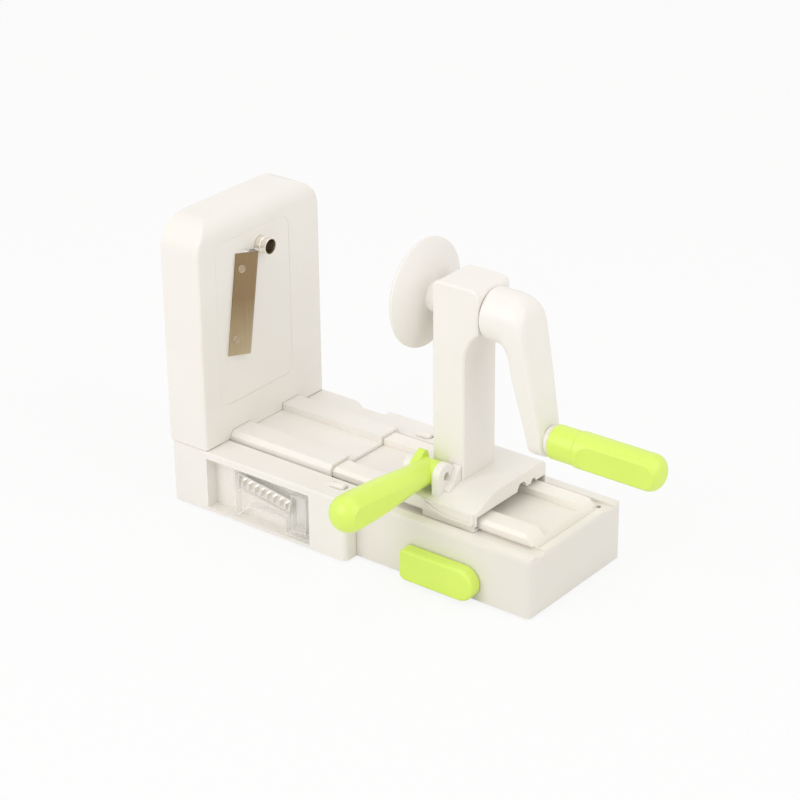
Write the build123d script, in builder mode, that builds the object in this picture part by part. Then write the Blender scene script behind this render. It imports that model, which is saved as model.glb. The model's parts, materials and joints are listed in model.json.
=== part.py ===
from build123d import *
import math
import os

# Spiralizer with crank. Millimetres. +X runs from the blade tower to the crank end, +Z is up,
# -Y is the side with the push handle. The origin is the middle of the rubber strip under the tower.

# ---------------------------------------------------------------- driving dimensions
FIT = 0.3               # gap between pieces that slide past or seat on each other
RUN = 0.06              # radial clearance of a shaft in its bearing
SEAT = 0.15             # radial clearance of a piece fixed in its hole

# blade housing (the wide half of the base, under the tower)
STRIP_INSET = 12.0      # housing end to the middle of the foot strip
HOUSING_LENGTH = 140.5
HOUSING_WIDTH = 115.0
DECK_TOP = 42.2
DECK_SKIN = 1.9
SHELL_BOTTOM = 1.0      # the shells hang this far above the table
END_SKIN = 2.5
SIDE_SKIN = 2.2
HOUSING_CORNER = 3.5
DECK_EDGE = 1.2
RAIL_OUTER = 34.5       # half width over the rails
RAIL_INNER = 16.0       # half width of the channel between them
RAIL_RISE = 5.8
RAIL_SLOPE = 2.5        # how far the rail flank leans in
CHANNEL_RISE = 1.3
RAIL_SKIN = 1.8
TONGUE_LENGTH = 81.0    # rails beyond the tower face
RUNNER_SKIN = 1.2       # thickness of the carriage skirts
POCKET_START = 29.3     # storage pocket, from the housing end
POCKET_LENGTH = 83.0
POCKET_FLOOR = 3.2
POCKET_TOP = 37.5
POCKET_DEPTH = 9.0
POCKET_CORNER = 0.6
NOTCH_START = 58.5      # finger notch in the rear edge, from the housing end
NOTCH_LENGTH = 27.5
NOTCH_DEPTH = 4.0
NOTCH_RAMP = 5.0
TAB_START = 111.0       # snap tab in the deck, from the housing end
TAB_LENGTH = 18.0
TAB_WIDTH = 6.0
TAB_SLOT = 0.9
TAB_RISE = 1.8
TAB_Y = 43.0

STRIP_WIDTH = 9.0
STRIP_LENGTH = 86.0
FOOT_THICK = 3.0
PAD_LENGTH = 14.0
PAD_WIDTH = 6.0
PAD_INSET = 12.0

# tower
TOWER_FOOT_Y = 43.0     # screws that hold the tower to the housing
TOWER_DEPTH = 30.0
TOWER_TOP = 191.5
TOWER_CORNER = 20.0
TOWER_BROW = 12.0       # rounding of the top front edge
BROW_LIFT = 0.12        # the rounding starts this far above the top, so it crosses the corners cleanly
TOWER_SKIN = 2.5
TOWER_EDGE = 2.2
BACK_SKIN = 2.5
BOSS_RADIUS = 4.0
BOSS_INSET = 10.0
SCREW_RADIUS = 1.5
SCREW_HEAD = 2.8
SCREW_LENGTH = 12.0
CHUTE_WIDTH = 56.0      # exit for the cut food in the back cover
CHUTE_HEIGHT = 88.0
CHUTE_CORNER = 10.0

# blade cassette
AXIS_Z = 164.0          # crank axis above the table
CASSETTE_Y0 = -41.5
CASSETTE_Y1 = 27.0
CASSETTE_Z0 = 67.0
CASSETTE_Z1 = 175.5
CASSETTE_CORNER = 8.0
CASSETTE_THICK = 6.0
CASSETTE_SEAT = 3.0     # width of the ledge behind the cassette
BLADE_LENGTH = 66.0
BLADE_WIDTH = 17.5
BLADE_THICK = 0.8
BLADE_Y = -20.6
BLADE_Z = 131.2
BLADE_LEAN = 9.3        # degrees from vertical
BLADE_LIFT = 13.9       # degrees that the cutting edge stands out
BLADE_REST = 2.4        # blade middle in front of the cassette face
SLOT_WIDTH = 11.0
RIVET_PITCH = 45.6
RIVET_ACROSS = -3.5
RIVET_SHANK = 2.2
RIVET_HEAD = 4.0
RIVET_RISE = 1.0
CORER_RADIUS = 5.0
CORER_SKIN = 0.9
CORER_REACH = 8.7       # in front of the tower face
CORER_COLLAR = 5.5
COLLAR_LENGTH = 4.0

# spare blade carrier
CARRIER_LENGTH = 62.0
CARRIER_THICK = 7.0
CARRIER_ARCH = 9.5      # height of the arch under the band
CARRIER_LEG = 21.0
CARRIER_STUB = 9.5
CARRIER_TOE = 2.0
CARRIER_RIB = 3.0
SPARE_LENGTH = 40.0
SPARE_HEIGHT = 9.0
SPARE_THICK = 0.6
SPARE_LEAN = 8.0        # degrees that the spare blade lies down to the right
SPARE_TOOTH = 3.0
SPARE_TEETH = 8

# slide base (the narrow half, with the suction cup)
SLIDE_START = 70.0      # from the housing end, with the base pulled out
SLIDE_LENGTH = 198.9
SLIDE_WIDTH = 93.2
SLIDE_SKIN = 2.2
SLIDE_CORNER = 3.0
RIM_WIDTH = 6.7
TRENCH_FLOOR = 38.2
END_RIM = 5.0
TRENCH_END = 1.0        # plateau foot to the end rim
PLATEAU_SLOPE = 10.5
DRAIN_RADIUS = 1.6
GROOVE_DEPTH = 2.2
GROOVE_HEIGHT = 2.1
COVER_SKIN = 2.0
COVER_SCREW_Y = 36.0
FOOT_RADIUS = 6.0
CUP_RADIUS = 33.0
CUP_RISE = 2.7          # top of the cup above the table
CUP_SKIN = 1.6
CUP_EDGE = 0.6
CUP_STUD = 2.5
CUP_RING = 32.0         # wall that presses the cup down
CUP_WALL = 2.0
LEVER_INSET = 45.6      # pivot to the crank end of the base
LEVER_Z = 12.3
LEVER_RADIUS = 10.5
LEVER_REACH = 43.8
LEVER_THICK = 8.2
LEVER_CORNER = 4.0
LEVER_GAP = 0.6
CAMSHAFT_RADIUS = 3.5
CAM_RADIUS = 5.5
CAM_THROW = 2.1
CAM_WIDTH = 8.0
CAMSHAFT_END = 33.0
STEM_SKIN = 2.0
STEM_DEPTH = 9.0
STEM_HALF = 8.0         # half width of the window for the cam
STEM_POST = 3.0
STEM_REACH = 9.0
STEM_LIFT = 3.0

# carriage
SADDLE_X0 = 160.0       # from the housing end
SADDLE_LENGTH = 62.5
SADDLE_TOP = 58.0
SADDLE_BROW = 50.5      # height of its front edge
SADDLE_SHOULDER = -18.0
SADDLE_SKIN = 3.0
SKIRT_LENGTH = 38.0
FLAP_SKIN = 3.2
HOOK_SKIN = 1.5
FLAP_OUT = 1.6          # how far the flap stands out from the skirt
SCOOP_DEPTH = 1.2
ARCHES = ((11.0, 4.5), (23.0, 2.5))     # centre across and radius of the arches in the end face
EAR_BACK = 165.0        # outer face of the other ear, from the housing end
WEB_SKIN = 4.5
WEB_REACH = 3.0         # beyond the pivot
FLAP_CURVE = 20.0       # length of its curved lower edge
FLAP_CORNER = 2.5
COLUMN_X0 = 176.0       # from the housing end
COLUMN_LENGTH = 23.0
COLUMN_WIDTH = 33.0
COLUMN_SKIN = 3.0
COVER_PLATE = 2.2
HEAD_LENGTH = 32.5
HEAD_TOP = 182.0
HEAD_BOTTOM = 154.5
HEAD_BLEND = 20.5
POST_FOOT = 8.0         # solid foot of the post, above the saddle
HEAD_TUBE = 9.0
BORE_RADIUS = 4.6
HEAD_CORNER = 5.0
COLUMN_EDGE = 2.2
PIVOT_Y = -25.1
PIVOT_Z = 62.5
EAR_RADIUS = 8.0
EAR_BACK_RADIUS = 6.8
EAR_SKIN = 5.0
SEAT_Z = 51.5           # floor between the ears
EAR_X1 = 193.0          # outer face of the ear that shows, from the housing end
HUB_RADIUS = 7.6
HUB_LENGTH = 17.6
PIN_RADIUS = 2.5
PIN_INSET = 1.5
BUSH_RADIUS = 6.5
BUSH_LENGTH = 9.0

# crank
SHAFT_RADIUS = 4.0
DISC_X = 158.7          # widest circle of the food holder, from the housing end
DISC_RADIUS = 33.8
DISC_FACE = 2.2         # widest circle to the toothed face
DISC_DOME = 7.5
DISC_HUB = 10.0
DISC_ROUND = 1.5
PRONG_LENGTH = 7.0
PRONG_RADIUS = 1.7
PRONG_RADII = (10.0, 19.0, 28.0)
PRONG_COUNTS = (6, 10, 14)
PRONG_SIDES = 4
PRONG_TAPER = 6.0       # degrees
SPIKE_LENGTH = 9.0
SPIKE_RADIUS = 3.2
SPIKE_TAPER = 14.0
DISC_NECK = 16.8        # widest circle to the end of the hub
DISC_SKIN = 4.0
BOSS_R = 16.0
BOSS_LENGTH = 21.5
ARM_GAP = 0.5
CRANK_THROW = 70.0
ARM_END_R = 10.8
ARM_TOP_X = 237.0       # outer face at the top, from the housing end
ARM_FOOT_X = 250.5      # outer face at the grip
ARM_TOP_DEPTH = 14.5
ARM_FOOT_DEPTH = 11.5
ARM_EDGE = 2.5
ARM_CROWN = 9.0
ARM_HEAD_R = 15.4
GRIP_RADIUS = 11.2
GRIP_LENGTH = 73.5
GRIP_NOSE = 8.0         # rounding of its free end
GRIP_SWEEP = 12.0       # length over which the flats run in
GRIP_COLLAR_RUN = 3.0
SPIGOT_RADIUS = 8.5
ARM_SPIGOT = 2.4
GRIP_COLLAR = 17.0
GRIP_COLLAR_R = 10.6
GRIP_FLAT = 8.6
AXLE_RADIUS = 3.0
AXLE_REACH = 50.0

# push handle
HANDLE_REACH = 86.5
HANDLE_ROOT = 8.4
HANDLE_SWELL = 11.6
HANDLE_FLAT = 9.6
HANDLE_TILT = 2.5
HEEL_RADIUS = 11.5
HEEL_WIDTH = 5.0
HEEL_TURN = 20.0        # degrees that the heel leans from upright towards the post

# ---------------------------------------------------------------- derived places
END_X = -STRIP_INSET
HALF_WIDTH = HOUSING_WIDTH / 2


def at(length):
    """X of a point this far from the housing end."""
    return END_X + length


FACE_X = at(TOWER_DEPTH)
MOUTH_X = at(HOUSING_LENGTH)
TONGUE_X = FACE_X + TONGUE_LENGTH
RAIL_TOP = DECK_TOP + RAIL_RISE
CHANNEL_TOP = DECK_TOP + CHANNEL_RISE
BAY_TOP = DECK_TOP - DECK_SKIN
BAY_HALF = SLIDE_WIDTH / 2 + FIT
SKIRT_INNER = RAIL_OUTER + FIT
SKIRT_OUTER = SKIRT_INNER + RUNNER_SKIN
SLIT_OUTER = SKIRT_OUTER + FIT
RIM_TOP = BAY_TOP - FIT
PLATEAU_TOP = RAIL_TOP - RAIL_SKIN - FIT
PLATEAU_OUTER = RAIL_OUTER - RAIL_SKIN - FIT
PLATEAU_INNER = RAIL_INNER + RAIL_SKIN + FIT
PLATEAU_FLOOR = CHANNEL_TOP - RAIL_SKIN - FIT
SLIDE_X0 = at(SLIDE_START)
SLIDE_X1 = SLIDE_X0 + SLIDE_LENGTH
TRENCH_OUTER = SLIDE_WIDTH / 2 - RIM_WIDTH
PLATEAU_X1 = SLIDE_X1 - END_RIM - TRENCH_END
LEVER_AT = SLIDE_X1 - LEVER_INSET
COLUMN_BACK = at(COLUMN_X0)
COLUMN_FRONT = COLUMN_BACK + COLUMN_LENGTH
HEAD_FRONT = COLUMN_BACK + HEAD_LENGTH
DISC_AT = at(DISC_X)
BOSS_X = HEAD_FRONT + ARM_GAP
CRANK_Z = AXIS_Z - CRANK_THROW
CRANK_AXIS = Axis((0, 0, AXIS_Z), (1, 0, 0))


def block(x, y, z, mode=Mode.ADD):
    """A box between a low and a high value along each axis."""
    with Locations((x[0], y[0], z[0])):
        Box(x[1] - x[0], y[1] - y[0], z[1] - z[0], align=(Align.MIN, Align.MIN, Align.MIN), mode=mode)


def around(middle, reach):
    """Low and high values on both sides of a point's two coordinates."""
    return [(value - reach, value + reach) for value in middle]


def rod(radius, start, length, axis="X", mode=Mode.ADD):
    """A cylinder from a start point along +X, +Y or +Z."""
    turn = {"X": (0, 90, 0), "Y": (-90, 0, 0), "Z": (0, 0, 0)}[axis]
    with Locations(Location(start, turn)):
        Cylinder(radius, length, align=(Align.CENTER, Align.CENTER, Align.MIN), mode=mode)


def save(name, builder):
    """Label a finished piece and write it."""
    builder.part.label = name
    export_step(builder.part, "parts/" + name + ".step")


def mirrored(points):
    """A closed outline from the points of its +Y half, given from the bottom to the top."""
    return points + [(-y, z) for y, z in reversed(points)]


def rail_outline(grow, foot):
    """The two rails and the channel between them, moved out by an offset, down to a foot height."""
    return mirrored([
        (RAIL_OUTER + grow, foot), (RAIL_OUTER + grow, DECK_TOP + (RAIL_RISE + grow) / 2),
        (RAIL_OUTER - RAIL_SLOPE + grow, RAIL_TOP + grow), (RAIL_INNER - grow, RAIL_TOP + grow),
        (RAIL_INNER - grow, CHANNEL_TOP + grow),
    ])


def rail_body(start, length, grow, foot, mode=Mode.ADD):
    """The rails as a solid along X."""
    with BuildSketch(Plane.YZ.offset(start)) as outline:
        with BuildLine():
            Polyline(*rail_outline(grow, foot), close=True)
        make_face()
    extrude(outline.sketch, amount=length, mode=mode)


os.makedirs("parts", exist_ok=True)

# ---------------------------------------------------------------- blade housing
with BuildPart() as blade_housing:
    with BuildSketch(Plane.XY.offset(SHELL_BOTTOM)):
        with Locations((at(HOUSING_LENGTH / 2), 0)):
            RectangleRounded(HOUSING_LENGTH, HOUSING_WIDTH, HOUSING_CORNER)
    extrude(amount=DECK_TOP - SHELL_BOTTOM)
    chamfer(blade_housing.faces().sort_by(Axis.Z)[-1].edges(), DECK_EDGE / 2)
    # rails with a shallow channel between them
    rail_body(FACE_X - TOWER_SKIN, TONGUE_LENGTH + TOWER_SKIN, 0, BAY_TOP)
    # bay that the slide base runs into, open below and at the mouth
    block((END_X + END_SKIN, MOUTH_X + 1), (-BAY_HALF, BAY_HALF), (0, BAY_TOP), mode=Mode.SUBTRACT)
    rail_body(FACE_X + RAIL_SKIN, TONGUE_LENGTH, -RAIL_SKIN, BAY_TOP - 1, mode=Mode.SUBTRACT)
    # slits for the carriage skirts, and the open space past the tongue
    for side in (-1, 1):
        edges = sorted((side * RAIL_OUTER, side * SLIT_OUTER))
        block((FACE_X, MOUTH_X + 1), edges, (BAY_TOP - 1, DECK_TOP + 1), mode=Mode.SUBTRACT)
    block((TONGUE_X, MOUTH_X + 1), (-SLIT_OUTER, SLIT_OUTER), (BAY_TOP - 1, RAIL_TOP + 1), mode=Mode.SUBTRACT)
    # storage pocket in the front wall
    with BuildSketch(Plane.XZ.offset(HALF_WIDTH - POCKET_DEPTH)):
        with Locations((at(POCKET_START + POCKET_LENGTH / 2), (POCKET_FLOOR + POCKET_TOP) / 2)):
            RectangleRounded(POCKET_LENGTH, POCKET_TOP - POCKET_FLOOR, POCKET_CORNER)
    extrude(amount=POCKET_DEPTH + 1, mode=Mode.SUBTRACT)
    # hollow side box behind the rear wall
    block(
        (END_X + SIDE_SKIN + HOUSING_CORNER, MOUTH_X - 2 * PAD_INSET),
        (BAY_HALF + SIDE_SKIN, HALF_WIDTH - SIDE_SKIN), (0, DECK_TOP - NOTCH_DEPTH - SIDE_SKIN), mode=Mode.SUBTRACT,
    )
    # finger notch in the rear edge
    with BuildSketch(Plane.XZ.offset(-HALF_WIDTH - 1)):
        with BuildLine():
            Polyline(
                (at(NOTCH_START), DECK_TOP + 1), (at(NOTCH_START), DECK_TOP),
                (at(NOTCH_START + NOTCH_RAMP), DECK_TOP - NOTCH_DEPTH),
                (at(NOTCH_START + NOTCH_LENGTH - NOTCH_RAMP), DECK_TOP - NOTCH_DEPTH),
                (at(NOTCH_START + NOTCH_LENGTH), DECK_TOP), (at(NOTCH_START + NOTCH_LENGTH), DECK_TOP + 1),
                close=True,
            )
        make_face()
    extrude(amount=HALF_WIDTH - BAY_HALF - SIDE_SKIN, mode=Mode.SUBTRACT)
    # snap tabs: a bullet-shaped thumb rib on a tab with a slot round its free end
    for side in (-1, 1):
        with BuildSketch(Plane.XY.offset(BAY_TOP - 1)):
            with Locations((at(TAB_START + TAB_LENGTH / 2 + TAB_SLOT), side * TAB_Y)):
                SlotOverall(TAB_LENGTH + 2 * TAB_SLOT, TAB_WIDTH + 2 * TAB_SLOT)
                SlotOverall(TAB_LENGTH, TAB_WIDTH, mode=Mode.SUBTRACT)
            with Locations((at(TAB_START), side * TAB_Y)):
                Rectangle(TAB_LENGTH, 2 * TAB_WIDTH, mode=Mode.SUBTRACT)
        extrude(amount=DECK_SKIN + 2, mode=Mode.SUBTRACT)
        with BuildSketch(Plane.XY.offset(DECK_TOP)):
            with Locations((at(TAB_START + TAB_LENGTH / 2 + TAB_SLOT), side * TAB_Y)):
                SlotOverall(TAB_LENGTH, TAB_WIDTH)
        extrude(amount=TAB_RISE, taper=30)
    # holes for the screws that hold the tower
    for side in (-1, 1):
        rod(SCREW_RADIUS + SEAT, (at(TOWER_DEPTH / 2), side * TOWER_FOOT_Y, BAY_TOP - 1), DECK_SKIN + 2, "Z",
            mode=Mode.SUBTRACT)
    # floor web across the bay, and the seats of the feet
    block((END_X + 1, STRIP_WIDTH), (-BAY_HALF - 1, BAY_HALF + 1), (SHELL_BOTTOM, FOOT_THICK + SIDE_SKIN))
    block((-STRIP_WIDTH / 2 - SEAT, STRIP_WIDTH / 2 + SEAT), (-STRIP_LENGTH / 2 - SEAT, STRIP_LENGTH / 2 + SEAT),
          (0, FOOT_THICK), mode=Mode.SUBTRACT)
    for side in (-1, 1):
        with BuildSketch(Plane.XY):
            with Locations((MOUTH_X - PAD_INSET, side * (HALF_WIDTH + BAY_HALF) / 2)):
                Rectangle(PAD_LENGTH + 2 * SEAT, PAD_WIDTH + 2 * SEAT)
        extrude(amount=FOOT_THICK, mode=Mode.SUBTRACT)
save("blade_housing", blade_housing)

with BuildPart() as end_foot_strip:
    with BuildSketch(Plane.XY):
        RectangleRounded(STRIP_WIDTH, STRIP_LENGTH, STRIP_WIDTH / 4)
    extrude(amount=FOOT_THICK)
save("end_foot_strip", end_foot_strip)

with BuildPart() as side_foot_pads:
    for side in (-1, 1):
        with BuildSketch(Plane.XY):
            with Locations((MOUTH_X - PAD_INSET, side * (HALF_WIDTH + BAY_HALF) / 2)):
                RectangleRounded(PAD_LENGTH, PAD_WIDTH, PAD_WIDTH / 3)
        extrude(amount=FOOT_THICK)
save("side_foot_pads", side_foot_pads)

# ---------------------------------------------------------------- tower
CASSETTE_MID = ((CASSETTE_Y0 + CASSETTE_Y1) / 2, (CASSETTE_Z0 + CASSETTE_Z1) / 2)
CASSETTE_SIZE = (CASSETTE_Y1 - CASSETTE_Y0, CASSETTE_Z1 - CASSETTE_Z0)
CASSETTE_BACK = FACE_X - CASSETTE_THICK
SLEEVE_BACK = CASSETTE_BACK - FIT - TOWER_SKIN
BOSS_PLACES = [
    (side * (HALF_WIDTH - BOSS_INSET), height)
    for side in (-1, 1)
    for height in (DECK_TOP + BOSS_INSET, TOWER_TOP - BOSS_INSET - TOWER_SKIN)
]


def tower_outline(inset):
    """Front view of the tower, drawn on a YZ plane and drawn in by an inset."""
    with BuildSketch(Plane.YZ) as outline:
        half = HALF_WIDTH - inset
        top = TOWER_TOP - inset
        corner = TOWER_CORNER - inset
        with BuildLine():
            Polyline((-half, top - corner), (-half, DECK_TOP), (half, DECK_TOP), (half, top - corner))
            CenterArc((half - corner, top - corner), corner, 0, 90)
            Line((half - corner, top), (corner - half, top))
            CenterArc((corner - half, top - corner), corner, 90, 90)
        make_face()
    return outline.sketch


def tower_side(inset):
    """Side view of the tower, drawn on an XZ plane: only the top front edge is rounded."""
    with BuildSketch(Plane.XZ) as outline:
        front = FACE_X - inset
        top = TOWER_TOP + BROW_LIFT - inset
        brow = TOWER_BROW - inset
        with BuildLine():
            Polyline((front - brow, top), (END_X, top), (END_X, DECK_TOP), (front, DECK_TOP), (front, top - brow))
            CenterArc((front - brow, top - brow), brow, 0, 90)
        make_face()
    return outline.sketch


def rounded(plane, middle, size, corner, depth, mode=Mode.ADD):
    """A plate with rounded corners, from a plane along its normal."""
    with BuildSketch(plane) as plate:
        with Locations(middle):
            RectangleRounded(size[0], size[1], corner)
    extrude(plate.sketch, amount=depth, mode=mode)


with BuildPart() as tower_hollow:
    extrude(tower_outline(TOWER_SKIN).moved(Location((END_X, 0, 0))), amount=TOWER_DEPTH - TOWER_SKIN, dir=(1, 0, 0))
    extrude(tower_side(TOWER_SKIN), amount=HALF_WIDTH, both=True, mode=Mode.INTERSECT)

with BuildPart() as tower_shell:
    extrude(tower_outline(0).moved(Location((END_X, 0, 0))), amount=TOWER_DEPTH, dir=(1, 0, 0))
    extrude(tower_side(0), amount=HALF_WIDTH + 1, both=True, mode=Mode.INTERSECT)
    front_edges = tower_shell.faces().filter_by(Axis.X).sort_by(Axis.X)[-1].edges().filter_by(Axis.Z)
    fillet(front_edges, TOWER_EDGE)
    add(tower_hollow.part, mode=Mode.SUBTRACT)
    # bosses for the back cover's screws and for those from the housing
    for place in BOSS_PLACES:
        block((END_X + BACK_SKIN, FACE_X - TOWER_SKIN / 2), *around(place, BOSS_RADIUS))
    for side in (-1, 1):
        block((at(TOWER_DEPTH / 2) - BOSS_RADIUS, FACE_X - TOWER_SKIN / 2),
              sorted((side * (TOWER_FOOT_Y - BOSS_RADIUS), side * (TOWER_FOOT_Y + BOSS_RADIUS))),
              (DECK_TOP, DECK_TOP + SCREW_LENGTH + BACK_SKIN))
        rod(SCREW_RADIUS + SEAT, (at(TOWER_DEPTH / 2), side * TOWER_FOOT_Y, DECK_TOP - 1), SCREW_LENGTH + 1, "Z",
            mode=Mode.SUBTRACT)
    for place in BOSS_PLACES:
        rod(SCREW_RADIUS + SEAT, (END_X, place[0], place[1]), BACK_SKIN + SCREW_LENGTH, mode=Mode.SUBTRACT)
    # sleeve with a ledge that the cassette slides into, open from front to back
    sleeve = (CASSETTE_SIZE[0] + 2 * (FIT + SIDE_SKIN), CASSETTE_SIZE[1] + 2 * (FIT + SIDE_SKIN))
    rounded(Plane.YZ.offset(SLEEVE_BACK), CASSETTE_MID, sleeve, CASSETTE_CORNER + SIDE_SKIN,
            FACE_X - TOWER_SKIN / 2 - SLEEVE_BACK)
    rounded(Plane.YZ.offset(CASSETTE_BACK - FIT), CASSETTE_MID,
            (CASSETTE_SIZE[0] + 2 * FIT, CASSETTE_SIZE[1] + 2 * FIT), CASSETTE_CORNER + FIT,
            CASSETTE_THICK + FIT + 1, mode=Mode.SUBTRACT)
    rounded(Plane.YZ.offset(SLEEVE_BACK - 1), CASSETTE_MID,
            (CASSETTE_SIZE[0] - 2 * CASSETTE_SEAT, CASSETTE_SIZE[1] - 2 * CASSETTE_SEAT), CASSETTE_CORNER - CASSETTE_SEAT,
            CASSETTE_THICK + TOWER_SKIN, mode=Mode.SUBTRACT)
    # the rails run under the foot of the front wall
    rail_body(FACE_X - TOWER_SKIN - 1, TOWER_SKIN + 2, FIT, DECK_TOP - 1, mode=Mode.SUBTRACT)
save("tower_shell", tower_shell)

with BuildPart() as tower_back_cover:
    extrude(tower_outline(TOWER_SKIN + SEAT).moved(Location((END_X, 0, 0))), amount=BACK_SKIN, dir=(1, 0, 0))
    block((END_X - 1, END_X + BACK_SKIN + 1), (-HALF_WIDTH, HALF_WIDTH), (DECK_TOP - 1, DECK_TOP + SEAT),
          mode=Mode.SUBTRACT)
    rounded(Plane.YZ.offset(END_X - 1), (CASSETTE_MID[0], CASSETTE_MID[1]), (CHUTE_WIDTH, CHUTE_HEIGHT), CHUTE_CORNER,
            BACK_SKIN + 2, mode=Mode.SUBTRACT)
    for place in BOSS_PLACES:
        rod(SCREW_RADIUS + SEAT, (END_X - 1, place[0], place[1]), BACK_SKIN + 2, mode=Mode.SUBTRACT)
        rod(SCREW_HEAD + SEAT, (END_X - 1, place[0], place[1]), 1 + BACK_SKIN / 2, mode=Mode.SUBTRACT)
save("tower_back_cover", tower_back_cover)


def screw(start, axis, length):
    """A pan-head screw: the head begins at the start point and the shank runs along the axis."""
    head = BACK_SKIN / 2 - SEAT
    rod(SCREW_HEAD, start, head, axis)
    rod(SCREW_RADIUS, start, length, axis)


with BuildPart() as tower_cover_screws:
    for place in BOSS_PLACES:
        screw((END_X, place[0], place[1]), "X", SCREW_LENGTH)
save("tower_cover_screws", tower_cover_screws)

with BuildPart() as tower_foot_screws:
    for side in (-1, 1):
        screw((at(TOWER_DEPTH / 2), side * TOWER_FOOT_Y, BAY_TOP - BACK_SKIN / 2 + SEAT), "Z", SCREW_LENGTH)
save("tower_foot_screws", tower_foot_screws)

# ---------------------------------------------------------------- blade cassette
lean = math.radians(BLADE_LEAN)
lift = math.radians(BLADE_LIFT)
across = Vector(0, math.cos(lean), -math.sin(lean))
lifted = across * math.cos(lift) + Vector(math.sin(lift), 0, 0)
normal = Vector(math.cos(lift), 0, 0) - across * math.sin(lift)
BLADE_PLANE = Plane(origin=(FACE_X + BLADE_REST, BLADE_Y, BLADE_Z), x_dir=lifted, z_dir=normal)
FLAT_PLANE = Plane(origin=(FACE_X, BLADE_Y, BLADE_Z), x_dir=across, z_dir=(1, 0, 0))
RIVET_PLACES = [(RIVET_ACROSS, -RIVET_PITCH / 2), (RIVET_ACROSS, RIVET_PITCH / 2)]

with BuildPart() as cassette_frame:
    rounded(Plane.YZ.offset(CASSETTE_BACK), CASSETTE_MID, CASSETTE_SIZE, CASSETTE_CORNER, CASSETTE_THICK)
    # wedge that the blade is riveted to
    with BuildSketch(BLADE_PLANE):
        with Locations((-BLADE_WIDTH / 4, 0)):
            Rectangle(BLADE_WIDTH / 2, BLADE_LENGTH)
    extrude(amount=-CASSETTE_THICK)
    # mouth under the cutting edge
    with BuildSketch(FLAT_PLANE.offset(-CASSETTE_THICK - 1)):
        with Locations((SLOT_WIDTH / 2 + 1, 0)):
            Rectangle(SLOT_WIDTH, BLADE_LENGTH)
    extrude(amount=CASSETTE_THICK + 2 + BLADE_REST * 2, mode=Mode.SUBTRACT)
    with BuildSketch(BLADE_PLANE):
        with Locations(*RIVET_PLACES):
            Circle(RIVET_SHANK + SEAT)
    extrude(amount=-CASSETTE_THICK + 1, mode=Mode.SUBTRACT)
    rod(CORER_RADIUS + SEAT, (CASSETTE_BACK - 1, 0, AXIS_Z), CASSETTE_THICK + 2, mode=Mode.SUBTRACT)
save("cassette_frame", cassette_frame)

with BuildPart() as straight_blade:
    with BuildSketch(BLADE_PLANE):
        Rectangle(BLADE_WIDTH, BLADE_LENGTH)
        with Locations(*RIVET_PLACES):
            Circle(RIVET_SHANK + SEAT, mode=Mode.SUBTRACT)
    extrude(amount=BLADE_THICK)
    edge = straight_blade.edges().filter_by(lambda e: e.length > BLADE_LENGTH - 1).sort_by(Axis.X)[-1]
    chamfer(edge, BLADE_THICK * 0.9, BLADE_THICK * 2)
save("straight_blade", straight_blade)

with BuildPart() as blade_rivets:
    for place in RIVET_PLACES:
        with BuildSketch(BLADE_PLANE.offset(BLADE_THICK)):
            with Locations(place):
                Circle(RIVET_HEAD)
        extrude(amount=RIVET_RISE, taper=35)
        with BuildSketch(BLADE_PLANE.offset(BLADE_THICK)):
            with Locations(place):
                Circle(RIVET_SHANK)
        extrude(amount=-BLADE_THICK - CASSETTE_THICK + 2)
save("blade_rivets", blade_rivets)

with BuildPart() as coring_tube:
    rod(CORER_RADIUS, (CASSETTE_BACK, 0, AXIS_Z), CASSETTE_THICK + CORER_REACH)
    rod(CORER_COLLAR, (FACE_X, 0, AXIS_Z), COLLAR_LENGTH)
    chamfer(coring_tube.faces().filter_by(Axis.X).sort_by(Axis.X)[-1].edges(), CORER_SKIN * 0.8)
    rod(CORER_RADIUS - CORER_SKIN, (CASSETTE_BACK - 1, 0, AXIS_Z), CASSETTE_THICK + CORER_REACH + 2, mode=Mode.SUBTRACT)
save("coring_tube", coring_tube)

# ---------------------------------------------------------------- spare blade carrier
CARRIER_X1 = at(POCKET_START + POCKET_LENGTH) - FIT
CARRIER_X0 = CARRIER_X1 - CARRIER_LENGTH
CARRIER_Y = -HALF_WIDTH + POCKET_DEPTH - FIT
CARRIER_Z0 = POCKET_FLOOR + FIT
CARRIER_Z1 = POCKET_TOP - FIT
SPARE_PLANE = Plane.XZ.offset(-CARRIER_Y + CARRIER_THICK)
SPARE_AT = (CARRIER_X0 + CARRIER_RIB + SPARE_LENGTH / 2 + 1, (CARRIER_Z0 + CARRIER_ARCH + CARRIER_Z1) / 2)

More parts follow.
